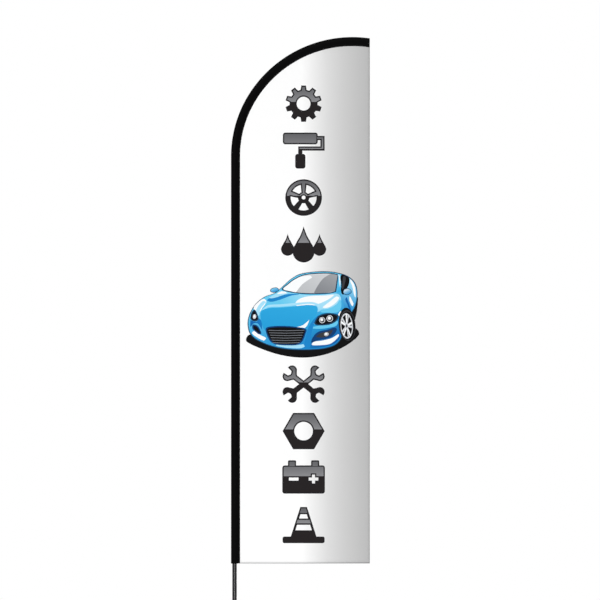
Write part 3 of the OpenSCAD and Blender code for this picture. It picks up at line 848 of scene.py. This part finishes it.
def paint_drops():
    """Each drop comes with its own inner edge, which keeps the tip pointed."""
    drops = ((0, -42, 76), (-106, -28, 46), (106, -28, 46))
    return [(drop(x, z, size), drop(x, z - 1, size - 10)) for x, z, size in drops], []


def spanner(tilt):
    jaw = [(76, 20, SHARP), (90, 36), (106, 56), (132, 62), (154, 48), (162, 24, SHARP), (126, 20, SHARP)]
    right = [*jaw, (116, 0), *[(p[0], -p[1], *p[2:]) for p in reversed(jaw)]]
    left = [(-p[0], -p[1], *p[2:]) for p in right]
    return turned(smooth_loop([*right, *left], 4) * 0.93, tilt)


def crossed_spanners():
    return [spanner(-38), spanner(38)], []


def battery():
    case = rounded_box(-142, -104, 142, 84, 16)
    posts = [rounded_box(left, 70, left + 54, 118, 8) for left in (-104, 50)]
    half = [(-10, -29), (10, -29), (10, -10), (32, -10), (32, 10), (10, 10)]
    cross = np.vstack([half, turned(half, 180)])
    return [case, *posts], [rounded_box(-98, -17, -34, 3, 3), cross + np.array([66, -7])]


def road_cone():
    """A cone on its foot, with two pale bands."""
    foot, top, foot_half, top_half = -84, 120, 88, 22

    def slice_between(low, high, edge=0):
        a, b = (foot_half + (top_half - foot_half) * (z - foot) / (top - foot) - edge for z in (low, high))
        return np.array([(-a, low), (a, low), (b, high), (-b, high)])

    stripes = [slice_between(-34, 2, 17), slice_between(44, 72, 17)]
    return [rounded_box(-140, -120, 140, -76, 12), slice_between(foot - 14, top)], stripes


def paint_roller():
    wire = [(80, 98), (140, 98), (140, 0), (-8, 0), (-8, -34), (-36, -34), (-36, 28), (112, 28)]
    wire += [(112, 70), (80, 70)]
    return [rounded_box(-138, 42, 94, 120, 16), np.array(wire), rounded_box(-56, -120, 12, -22, 16)], []


def below(loop, level):
    """The part of a loop that lies below a level."""
    kept = []
    for a, b in zip(loop, np.roll(loop, -1, 0)):
        if a[1] <= level:
            kept.append(a)
        if (a[1] - level) * (b[1] - level) < 0:
            kept.append(a + (b - a) * (level - a[1]) / (b[1] - a[1]))
    return np.array(kept)


def glossy(sign, centre):
    """A pictogram's printed areas: dark outline, bright upper half, dark lower half, and holes.

    A sign gives its loops and its holes; a loop may come as a pair, with its own inner edge.
    """
    loops, holes = sign()
    pairs = [loop if isinstance(loop, tuple) else (loop, set_in(loop, OUTLINE_W)) for loop in loops]
    fills = [inner + centre for _, inner in pairs]
    split = centre[1] + GLOSS_SPLIT
    top = centre[1] + PICTOGRAM_HALF_H
    gloss = blend(GLOSS_TOP, GLOSS_LOW, np.array([0, top]), np.array([0, split]))
    shapes = [(outer + centre, OUTLINE) for outer, _ in pairs]
    shapes += [(loop, gloss) for loop in fills]
    shapes += [(part, GLOSS_DARK) for part in (below(loop, split) for loop in fills) if len(part) > 2]
    shapes += [(set_in(hole + centre, -OUTLINE_W), OUTLINE) for hole in holes]
    return shapes + [(hole + centre, None) for hole in holes]


def printed_pictograms():
    shapes = []
    for first_z, signs in (
        (UPPER_Z, (cog, paint_roller, road_wheel, paint_drops)),
        (LOWER_Z, (crossed_spanners, hex_nut, battery, road_cone)),
    ):
        for k, sign in enumerate(signs):
            shapes += glossy(sign, np.array([PICTOGRAM_X, first_z - PICTOGRAM_PITCH * k]))
    return shapes


# ---------- Ink ----------

# The ground runs from white, over the half by the pole, to mid grey at the fly edge
GROUND_X = [450, 623, 730, 900]
GROUND_GREY = [255, 222, 207, 188]
INK_SHARE = 0.838
# The print goes through the cloth, and is a little paler on the back
BACK_INK = 0.95


def linear(colour):
    """Print colours, 0 to 255, as linear light off the cloth."""
    share = np.asarray(colour, float) / 255
    return INK_SHARE * np.where(share < 0.04045, share / 12.92, ((share + 0.055) / 1.055) ** 2.4)


def ground_ink(spots):
    grey = np.interp(spots[:, 0], GROUND_X, GROUND_GREY)
    return linear(np.repeat(grey[:, None], 3, 1))


def ink(fill, spots):
    """The fill's colour at each spot: the ground's, an even colour or a blend."""
    if fill is None:
        return ground_ink(spots)
    if len(fill) == 3:
        return linear(np.tile(fill, (len(spots), 1)))
    first, last, start, end = fill
    span = np.asarray(end, float) - start
    share = np.clip((spots - start) @ span / (span @ span), 0, 1)[:, None]
    return linear(np.array(first) * (1 - share) + np.array(last) * share)


def write_print(piece, colours):
    """Stores a colour for every face corner, in the order of the mesh's corners."""
    layer = piece.data.color_attributes.new("print", "FLOAT_COLOR", "CORNER")
    alpha = np.ones((len(colours), 1))
    layer.data.foreach_set("color", np.hstack([colours, alpha]).astype(np.float32).ravel())


# ---------- Printed panel ----------

GRID = 11.0


def run(start, end):
    """Points from start to end, no more than a grid's step apart, without the last."""
    start, end = np.array(start, float), np.array(end, float)
    count = max(1, math.ceil(np.linalg.norm(end - start) / GRID))
    return [start + (end - start) * i / count for i in range(count)]


def panel_outline():
    """The panel's cut edge: inside the sleeve's seam, the fly hem and the bottom hem."""
    inset = SLEEVE_W - SEAM_LAP
    left = FOLD_X + inset
    right = FLY_X - PANEL_TUCK
    low = FLAG_BOTTOM + PANEL_TUCK
    top = CENTRE_2[1] + math.sqrt((RADIUS_2 - inset) ** 2 - (right - CENTRE_2[0]) ** 2)
    curve = [line_place(s, inset)[:2] for s in np.arange(STRAIGHT_L, line_length(inset), GRID)]
    outline = run((left, low), (left, BEND_START)) + [spot for spot in curve if spot[0] < right - 1]
    return np.array(outline + run((right, top), (right, low)) + run((right, low), (left, low)))


def staggered_grid(low, high):
    points = []
    for k, z in enumerate(np.arange(low[1], high[1], GRID * math.sqrt(3) / 2)):
        points += [(x, z) for x in np.arange(low[0] + GRID / 2 * (k % 2), high[0], GRID)]
    return np.array(points)


def panel_plan(outline):
    """Flat triangles of the panel, each with the number of the printed area that it lies in."""
    shapes = [*printed_pictograms(), *printed_car()]
    points, edges = [], []
    for loop in [outline, *(loop for loop, _ in shapes)]:
        loop = sum((run(a, b) for a, b in zip(loop, np.roll(loop, -1, 0))), [])
        start = len(points)
        points += [tuple(spot) for spot in loop]
        edges += [(start + i, start + (i + 1) % len(loop)) for i in range(len(loop))]
    grid = staggered_grid(outline.min(0), outline.max(0))
    points += [tuple(spot) for spot in grid[inside(outline, grid)]]
    flat, _, faces, *_ = delaunay_2d_cdt(points, edges, [], 0, 0.02, False)
    flat = np.array([tuple(spot) for spot in flat])
    faces = np.array([tuple(face) for face in faces])
    faces = faces[inside(outline, flat[faces].mean(1))]
    middles = flat[faces].mean(1)
    areas = np.full(len(faces), -1)
    for k, (loop, _) in enumerate(shapes):
        areas[inside(loop, middles)] = k
    return flat, faces, areas, [fill for _, fill in shapes]


def build_panel(outline):
    """Two printed faces half a cloth apart, joined by a rim, on the billowed surface."""
    flat, faces, area_of, fills = panel_plan(outline)
    used, order = np.unique(faces, return_inverse=True)
    flat, faces = flat[used], order.reshape(-1, 3)
    a, b, c = (flat[faces[:, k]] for k in range(3))
    clockwise = (b[:, 0] - a[:, 0]) * (c[:, 1] - a[:, 1]) < (b[:, 1] - a[:, 1]) * (c[:, 0] - a[:, 0])
    faces[clockwise] = faces[clockwise][:, ::-1]
    count = len(flat)
    front = np.stack([flat[:, 0], billow(flat[:, 0], flat[:, 1]) - PANEL_CLOTH / 2, flat[:, 1]], 1)
    sides = {(face[k], face[(k + 1) % 3]) for face in faces.tolist() for k in range(3)}
    rim = sorted(side for side in sides if side[::-1] not in sides)
    rim_faces = [(q, p, p + count, q + count) for p, q in rim]
    panel = flag_piece(
        "printed_panel", np.vstack([front, front + np.array([0, PANEL_CLOTH, 0])]),
        faces.tolist() + (faces[:, ::-1] + count).tolist() + rim_faces,
        "printed_cloth", node="flag_panel",
    )
    corners = np.zeros((len(faces), 3, 3))
    for k in np.unique(area_of):
        mine = area_of == k
        corners[mine] = ink(None if k < 0 else fills[k], flat[faces[mine]].reshape(-1, 2)).reshape(-1, 3, 3)
    reverse = BACK_INK * corners[:, ::-1] + (1 - BACK_INK) * INK_SHARE
    rim_ink = ground_ink(flat[np.array(rim_faces).ravel() % count])
    write_print(panel, np.vstack([corners.reshape(-1, 3), reverse.reshape(-1, 3), rim_ink]))
    normals = surface_normals(flat[:, 0], flat[:, 1])
    panel.data.normals_split_custom_set_from_vertices(np.vstack([normals, -normals]).tolist())
    return panel


# ---------- Sleeve and hems ----------

SLEEVE_STEP = 11.0
ARC_STEPS = 12
# Half the height of the fold's rounded edge, outside and inside, and how deep the inside one is
FOLD_OUTSIDE = 1.5
FOLD_INSIDE = 0.5
FOLD_DEPTH = SLEEVE_CLOTH * 1.2


def hollow_at(share):
    """Half-thickness of the sleeve's hollow at a share of its length."""
    past = share * FOLD_L - STRAIGHT_L
    if past <= 0:
        return np.interp(FLAG_BOTTOM + share * FOLD_L, HOLLOW_HEIGHTS, HOLLOW_SIZES)
    return HOLLOW_SIZES[-1] + (HOLLOW_TIP - HOLLOW_SIZES[-1]) * past / (FOLD_L - STRAIGHT_L)


def sleeve_slack(share, inset):
    """Loose cloth round the pole: soft creases that lean across the sleeve, never inwards."""
    length = share * FOLD_L
    loose = 0.6 + 0.4 * math.sin(length / 230 + 0.8)
    crease = 0.5 + 0.5 * math.sin((length + 0.9 * inset) / 17 + 2.2 * math.sin(length / 95))
    gather = 0.5 + 0.5 * math.sin(2 * math.pi * length / 21 + 1.5 * math.sin(length / 60))
    bend = smooth_step((length - STRAIGHT_L) / 200)
    middle = math.sin(math.pi * min(1.0, inset / (SLEEVE_W - SEAM_FLAT)))
    seam_side = smooth_step((inset - POLE_INSET) / 25)
    return middle * (0.9 * loose * crease + 0.7 * bend * seam_side * gather)


def sleeve_side(share, hollow, gap, fold_half, fold_inset):
    """Half of the sleeve's section, seam to fold, as (inset, offset)."""
    def round_pole(angle):
        return POLE_INSET + hollow * math.cos(angle), hollow * math.sin(angle)

    def toward(first, last, *shares):
        return [tuple(a + (b - a) * t for a, b in zip(first, last)) for t in shares]

    flat_end = SLEEVE_W - SEAM_FLAT
    start = math.acos(hollow / (flat_end - POLE_INSET))
    end = math.pi - math.acos(min(0.999, hollow / (POLE_INSET - fold_inset)))
    side = [(SLEEVE_W, gap), ((SLEEVE_W + flat_end) / 2, gap), (flat_end, gap)]
    side += toward((flat_end, gap), round_pole(start), 0.35, 0.7)
    side += [round_pole(angle) for angle in np.linspace(start, end, ARC_STEPS)]
    side += toward(side[-1], (fold_inset, fold_half), 0.35, 0.65, 0.88)
    side[3:] = [(inset, offset + sleeve_slack(share, inset)) for inset, offset in side[3:]]
    return side + [(fold_inset, fold_half * 0.6)]


def sleeve_outside(share, extra):
    """The outer half of the section, with extra thickness over a turned hem."""
    cloth = SLEEVE_CLOTH + extra
    return sleeve_side(share, hollow_at(share) + cloth, PANEL_GAP + cloth, FOLD_OUTSIDE, 0.0)


def build_sleeve():
    """The folded strip of black cloth that holds the pole, with turned hems at both ends."""
    hem_share = TURNED_HEM / FOLD_L
    ends = (hem_share - 0.0001, hem_share + 0.0001)
    shares = {*np.linspace(0, 1, math.ceil(FOLD_L / SLEEVE_STEP) + 1), *ends, *(1 - end for end in ends)}
    rings = []
    for share in sorted(shares):
        extra = TURNED_CLOTH if min(share, 1 - share) < hem_share else 0.0
        outer = both_sides(sleeve_outside(share, extra))
        inner = both_sides(sleeve_side(share, hollow_at(share), PANEL_GAP, FOLD_INSIDE, FOLD_DEPTH))
        ring = []
        for inset, offset in outer + inner[::-1]:
            x, z = sleeve_share_place(share, inset)
            ring.append((x, offset, z))
        rings.append(ring)
    return flag_piece("sewn_sleeve", *strip_loft(rings), "sleeve_cloth", CLOTH_EDGE, "pole_sleeve")


# (Depth from the folded edge, offset from the panel's surface)
HEM_OUTSIDE = [(HEM_W, 0.85), (10, 0.9), (5.5, 0.95), (4.5, 0.95), (1.0, 0.88), (0.3, 0.55), (0.0, 0.15)]
HEM_INSIDE = [(HEM_W, 0.35), (10, 0.35), (5.5, 0.35), (4.5, 0.35), (1.6, 0.35), (1.2, 0.22), (1.1, 0.06)]
HEM_STEP = 9
# Painted shade: the hems a little darker than the print's ground, their folded edges darker again
EDGE_W = 5.0
HEM_SHADE = 0.94
FLY_EDGE_SHADE = 0.62
BOTTOM_EDGE_SHADE = 0.28


def hem_shade(spots):
    # Painted shade, darkest along the folded edges at the fly and at the bottom
    shade = np.where(spots[:, 0] > FLY_X - EDGE_W, FLY_EDGE_SHADE, HEM_SHADE)
    return np.where(spots[:, 1] < FLAG_BOTTOM + EDGE_W, BOTTOM_EDGE_SHADE, shade)[:, None]


def fly_hem_place(z, depth):
    return FLY_X - depth, np.full_like(depth, z)


def bottom_hem_place(x, depth):
    return np.full_like(depth, x), FLAG_BOTTOM + depth


def build_hem(name, node, place, start, end, marks=()):
    """A folded hem whose section follows the panel's surface, from one station to another."""
    stations = np.linspace(start, end, math.ceil((end - start) / HEM_STEP) + 1)
    depths, offsets = np.array(both_sides(HEM_OUTSIDE) + both_sides(HEM_INSIDE)[::-1]).T
    rings = []
    for station in np.sort([*stations, *marks]):
        x, z = place(station, depths)
        rings.append(np.stack([x, billow(x, z) + offsets, z], 1).tolist())
    vertices, faces = strip_loft(rings)
    hem = flag_piece(name, vertices, faces, "hem_cloth", CLOTH_EDGE, node)
    corners = np.zeros(len(hem.data.loops), int)
    hem.data.loops.foreach_get("vertex_index", corners)
    spots = np.array(vertices)[corners][:, [0, 2]]
    # The hem's ground colour is multiplied by its painted shade
    write_print(hem, ground_ink(spots) * hem_shade(spots))
    return hem


def build_hems():
    edge = FLAG_BOTTOM + EDGE_W
    # Extra rings on the fly hem where the bottom edge's painted shade begins
    fly = ("folded_fly_hem", "fly_hem", fly_hem_place, FLAG_BOTTOM, FLY_HEM_TOP, (edge - 0.5, edge + 0.5))
    bottom = ("folded_bottom_hem", "bottom_hem", bottom_hem_place, BOTTOM_HEM_START, BOTTOM_HEM_END)
    return build_hem(*fly), build_hem(*bottom)


# ---------- Stitches ----------

STITCH_PITCH = 4.2
STITCH_L = 3.1
THREAD_R = 0.26
# Rows: the seam's two, set in from the panel's side of the sleeve, one in from each hem's inner
# edge and on the hem's cloth, and one round each end of the sleeve
SEAM_ROWS = (2.8, 7.2)
HEM_ROW = 2.5
HEM_ROW_OUT = 0.87
END_ROW = 12.0


def stitch_mesh(rows):
    """Raised stitches, each a short thread that dips in at both ends."""
    starts, ends, outs = (np.array(sum(columns, []), float) for columns in zip(*rows))
    along = ends - starts
    side = np.cross(along, outs)
    side /= np.linalg.norm(side, axis=1)[:, None]
    rings = []
    for share, lift, radius in ((0, 0.0, 0.4), (0.5, 0.75, 1.0), (1, 0.0, 0.4)):
        centre = starts + along * share + outs * THREAD_R * lift
        for turn_out, turn_side in ((1, 0), (0, 1), (-1, 0), (0, -1)):
            rings.append(centre + THREAD_R * radius * (outs * turn_out + side * turn_side))
    vertices = np.stack(rings, 1).reshape(-1, 3)
    _, one = capped([range(4)] * 3)
    faces = np.array(one)[None] + 12 * np.arange(len(starts))[:, None, None]
    return vertices, faces.reshape(-1, 4).tolist()


def stitch_row(length, spot):
    """Starts, ends and outward directions; spot turns a length and a face, -1 or 1, to a point."""
    lengths = np.arange(STITCH_PITCH / 2, length - STITCH_PITCH, STITCH_PITCH)
    rows = [(spot(s, face), spot(s + STITCH_L, face), (0, face, 0)) for face in (-1, 1) for s in lengths]
    return [list(column) for column in zip(*rows)]


def seam_row(inset):
    def spot(length, face):
        x, z, _ = line_place(length, inset)
        return x, face * (PANEL_GAP + SLEEVE_CLOTH), z
    return stitch_row(line_length(inset), spot)


def hem_row(place, start, end):
    """Stitches along a hem, from one station to another."""
    def spot(length, face):
        x, z = place(start + length, np.array(HEM_W - HEM_ROW))
        return x, billow(x, z) + face * HEM_ROW_OUT, z
    return stitch_row(end - start, spot)


def end_row(share):
    """Stitches round one end's turned hem, from the seam to the fold, on both faces."""
    insets, offsets = np.array(sleeve_outside(share, TURNED_CLOTH))[:-3].T
    marks = np.concatenate([[0], np.cumsum(np.hypot(np.diff(insets), np.diff(offsets)))])

    def spot(length, face):
        x, z = sleeve_share_place(share, np.interp(length, marks, insets))
        return x, face * np.interp(length, marks, offsets), z
    return stitch_row(marks[-1], spot)


def build_stitches():
    end = END_ROW / FOLD_L
    black_rows = [seam_row(SLEEVE_W - depth) for depth in SEAM_ROWS] + [end_row(end), end_row(1 - end)]
    grey_rows = [
        hem_row(fly_hem_place, FLAG_BOTTOM, FLY_HEM_TOP),
        hem_row(bottom_hem_place, BOTTOM_HEM_START, BOTTOM_HEM_END),
    ]
    black = thread("black_thread", (0.004, 0.004, 0.004), (0.016, 0.016, 0.017))
    grey = thread("grey_thread", (0.48, 0.48, 0.49), (0.72, 0.72, 0.73))
    seams = flag_piece("sleeve_stitching", *stitch_mesh(black_rows), "sleeve_cloth", material=black)
    return seams, flag_piece("hem_stitching", *stitch_mesh(grey_rows), "hem_cloth", material=grey)


# ---------- Pieces inside the sleeve ----------

WHIP_R = 7.7
WHIP_TIP_R = 3.5
WHIP_EDGE = 0.8
WHIP_SHORT = 15
CUP_DEPTH = 27
# Heights along the pole: the whip stops short of the sleeve's end, in the webbing cup
WHIP_TOP = FLAG_BOTTOM + line_length(POLE_INSET) - WHIP_SHORT
CUP_MOUTH = WHIP_TOP - CUP_DEPTH
# The cinch strap goes round the pole, with its loop tab on the outside
STRAP_R = 15.1
STRAP_THICK = 1.0
TAB_R = 16.2
TAB_THICK = 0.9
TAB_SPREAD = 120


def axis_ring(height, radius):
    """A ring round the pole's axis at a height, measured along the pole from the ground."""
    x, z, turn = line_place(height - FLAG_BOTTOM, POLE_INSET)
    ring = []
    for angle in np.linspace(0, 2 * math.pi, 24, endpoint=False):
        out = radius * math.cos(angle)
        ring.append((x + out * math.cos(turn), radius * math.sin(angle), z - out * math.sin(turn)))
    return ring


def build_whip():
    """The glass-fibre rod: level where it is plugged in, then an even taper to its tip."""
    tapered = np.linspace(THIRD_TOP, WHIP_TOP, 110)
    shares = (tapered - THIRD_TOP) / (WHIP_TOP - THIRD_TOP)
    profile = [(WHIP_BOTTOM, WHIP_R - WHIP_EDGE), (WHIP_BOTTOM + WHIP_EDGE, WHIP_R), (THIRD_TOP - 1, WHIP_R)]
    profile += [(s, WHIP_R + (WHIP_TIP_R - WHIP_R) * share) for s, share in zip(tapered, shares)]
    shape = capped([axis_ring(*point) for point in profile])
    return flag_piece("tapered_whip", *shape, "glass_fibre", SOFT_EDGE, "whip")


def build_tip_pocket():
    """A webbing cup over the whip's cap, with a bound mouth and a rounded end.

    Its profile is (height over the mouth, radius) points, up the outside and down the inside.
    """
    outside = [(0, 7.4), (0.4, 8.0), (6, 8.0), (6.4, 7.7), (28, 7.7), (31.5, 6.9), (33.4, 4.6), (34, 1.5)]
    hollow = [(32.6, 1.5), (32.5, 4.4), (31, 6.4), (28, 6.6), (0.3, 6.6), (0, 6.9)]
    rings = [axis_ring(CUP_MOUTH + height, radius) for height, radius in outside + hollow]
    return flag_piece("tip_cup", *loft(rings, True), "webbing", SOFT_EDGE, "tip_pocket")


def strap_band(name, node, radius, thick, spread, material=None):
    """A strip of webbing bent round the pole, with soft edges; spread is its angle in degrees."""
    low, high = box_mm(node)[:, 2]
    edge = 0.3
    outer = radius + thick
    section = [(radius, low + edge), (radius + edge, low), (outer - edge, low), (outer, low + edge)]
    section += [(outer, high - edge), (outer - edge, high), (radius + edge, high), (radius, high - edge)]
    whole = spread >= 360
    angles = np.radians(np.linspace(-spread / 2, spread / 2, 96 if whole else 40, endpoint=not whole))
    rings = [[(r * math.cos(a), r * math.sin(a), z) for r, z in section] for a in angles]
    shape = loft(rings, True) if whole else capped(rings)
    return flag_piece(name, *shape, "webbing", SOFT_EDGE, node, material)


def build_spring(which):
    """A flat strip bent to a U with two straight legs, built open; the real one closes as its button is
    pressed.
    """
    node, joint = f"snap_spring_{which}", f"press_{which}_button"
    low, high = box_mm(node)
    thick, edge, leg = 0.5, 0.12, 12
    half = (high[0] - low[0]) / 2
    middle = (high[0] + low[0]) / 2
    bend_z = low[2] + half
    path = [(middle + half, z, (1, 0)) for z in (high[2], bend_z + leg)]
    for angle in np.linspace(0, math.pi, 17):
        out = (math.cos(angle), -math.sin(angle))
        path.append((middle + half * out[0], bend_z + half * out[1], out))
    path += [(middle - half, z, (-1, 0)) for z in (bend_z + leg, high[2])]
    side = high[1] - edge
    section = [(side - edge, 0), (side, edge), (side, thick - edge), (side - edge, thick)]
    section += [(-y, deep) for y, deep in reversed(section)]
    rings = [[(x - out[0] * deep, y, z - out[1] * deep) for y, deep in section] for x, z, out in path]
    spring = flag_piece(f"{which}_button_spring", *capped(rings), "spring_steel", SOFT_EDGE, node)
    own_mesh(spring)


# ---------- Stage ----------

FLOOR_X = 450
FLOOR_RADII = (1200, 2400, 3600)
FLOOR_SIDES = 64
# In metres: where the camera stands, and the middle of the flag, where the lights look
CAMERA_AT = (0.436, -11.1, 2.504)
LIGHTS_AIM = Vector((0.44, 0.0, 2.2))
# The white studio's strength as light, and as the camera sees it
STUDIO_LIT = 0.42
STUDIO_SEEN = 1.0


def build_floor():
    """A round pale floor at the foot of the spike."""
    level = cad_bounds[0][2] / MM
    angles = np.linspace(0, 2 * math.pi, FLOOR_SIDES, endpoint=False)
    rings = [[(FLOOR_X + r * math.cos(a), r * math.sin(a), level) for a in angles] for r in FLOOR_RADII]
    vertices, faces = loft(rings)
    middle = len(vertices)
    faces = [face[::-1] for face in faces]
    faces += [(middle, i, (i + 1) % FLOOR_SIDES) for i in range(FLOOR_SIDES)]
    new_object("floor", [*vertices, (FLOOR_X, 0, level)], faces, pale_floor())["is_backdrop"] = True


def area_light(name, place, width, height, power):
    """A soft box that looks at the middle of the flag."""
    lamp = bpy.data.lights.new(name, "AREA")
    lamp.shape = "RECTANGLE"
    lamp.size = width
    lamp.size_y = height
    lamp.energy = power
    light = bpy.data.objects.new(name, lamp)
    light.location = place
    light.rotation_euler = (LIGHTS_AIM - light.location).to_track_quat("-Z", "Y").to_euler()
    light.visible_camera = False
    bpy.context.scene.collection.objects.link(light)


def build_lights():
    """Tall soft boxes in front and behind, with softer ones to the sides and above."""
    area_light("front", (0.0, -13.5, 2.2), 3.0, 10.0, 1085)
    area_light("front_side", (-6.0, -6.0, 5.0), 4.0, 4.0, 230)
    area_light("back", (0.9, 13.5, 2.2), 3.0, 10.0, 1050)
    area_light("back_side", (6.5, 6.0, 5.0), 4.0, 4.0, 230)
    area_light("top", (0.4, 0.0, 8.5), 5.0, 5.0, 120)


def build_world():
    """A white studio; the camera sees it at full white, and the object is lit by a little less."""
    world = bpy.data.worlds.new("studio")
    world.use_nodes = True
    tree = world.node_tree
    tree.nodes.clear()
    lit, seen = (
        add_node(tree, "Background", {"Color": (1, 1, 1, 1), "Strength": strength}).outputs[0]
        for strength in (STUDIO_LIT, STUDIO_SEEN)
    )
    to_camera = add_node(tree, "LightPath").outputs["Is Camera Ray"]
    mix = add_node(tree, "MixShader", {0: to_camera, 1: lit, 2: seen})
    add_node(tree, "OutputWorld", {"Surface": mix.outputs[0]})
    bpy.context.scene.world = world


def build_camera():
    """Level with the middle of the view, straight in front of the printed side."""
    lens = bpy.data.cameras.new("camera")
    lens.lens = 100
    lens.sensor_width = 36
    camera = bpy.data.objects.new("camera", lens)
    camera.location = CAMERA_AT
    camera.rotation_euler = (math.pi / 2, 0, 0)
    bpy.context.scene.collection.objects.link(camera)
    bpy.context.scene.camera = camera


# ---------- Build ----------

dress_cad_nodes()
cut = panel_outline()
panel = build_panel(cut)
sleeve = build_sleeve()
fly_hem, bottom_hem = build_hems()
seam_thread, hem_thread = build_stitches()
whip = build_whip()
pocket = build_tip_pocket()
strap = strap_band("cinch_webbing", "cinch_strap", STRAP_R, STRAP_THICK, 360)
tab = strap_band("cinch_loop_tab", "cinch_tab", TAB_R, TAB_THICK, TAB_SPREAD, loop_fabric())
build_spring("lower")
build_spring("upper")

cut_area = abs(signed_area(cut)) * MM * MM

build_floor()
build_lights()
build_world()
build_camera()
bpy.context.scene.view_settings.view_transform = "Standard"

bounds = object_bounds()
sizes = {"cad": cad_bounds, "visual": bounds}
{key: [[float(v) for v in corner] for corner in box] for key, box in sizes.items()}
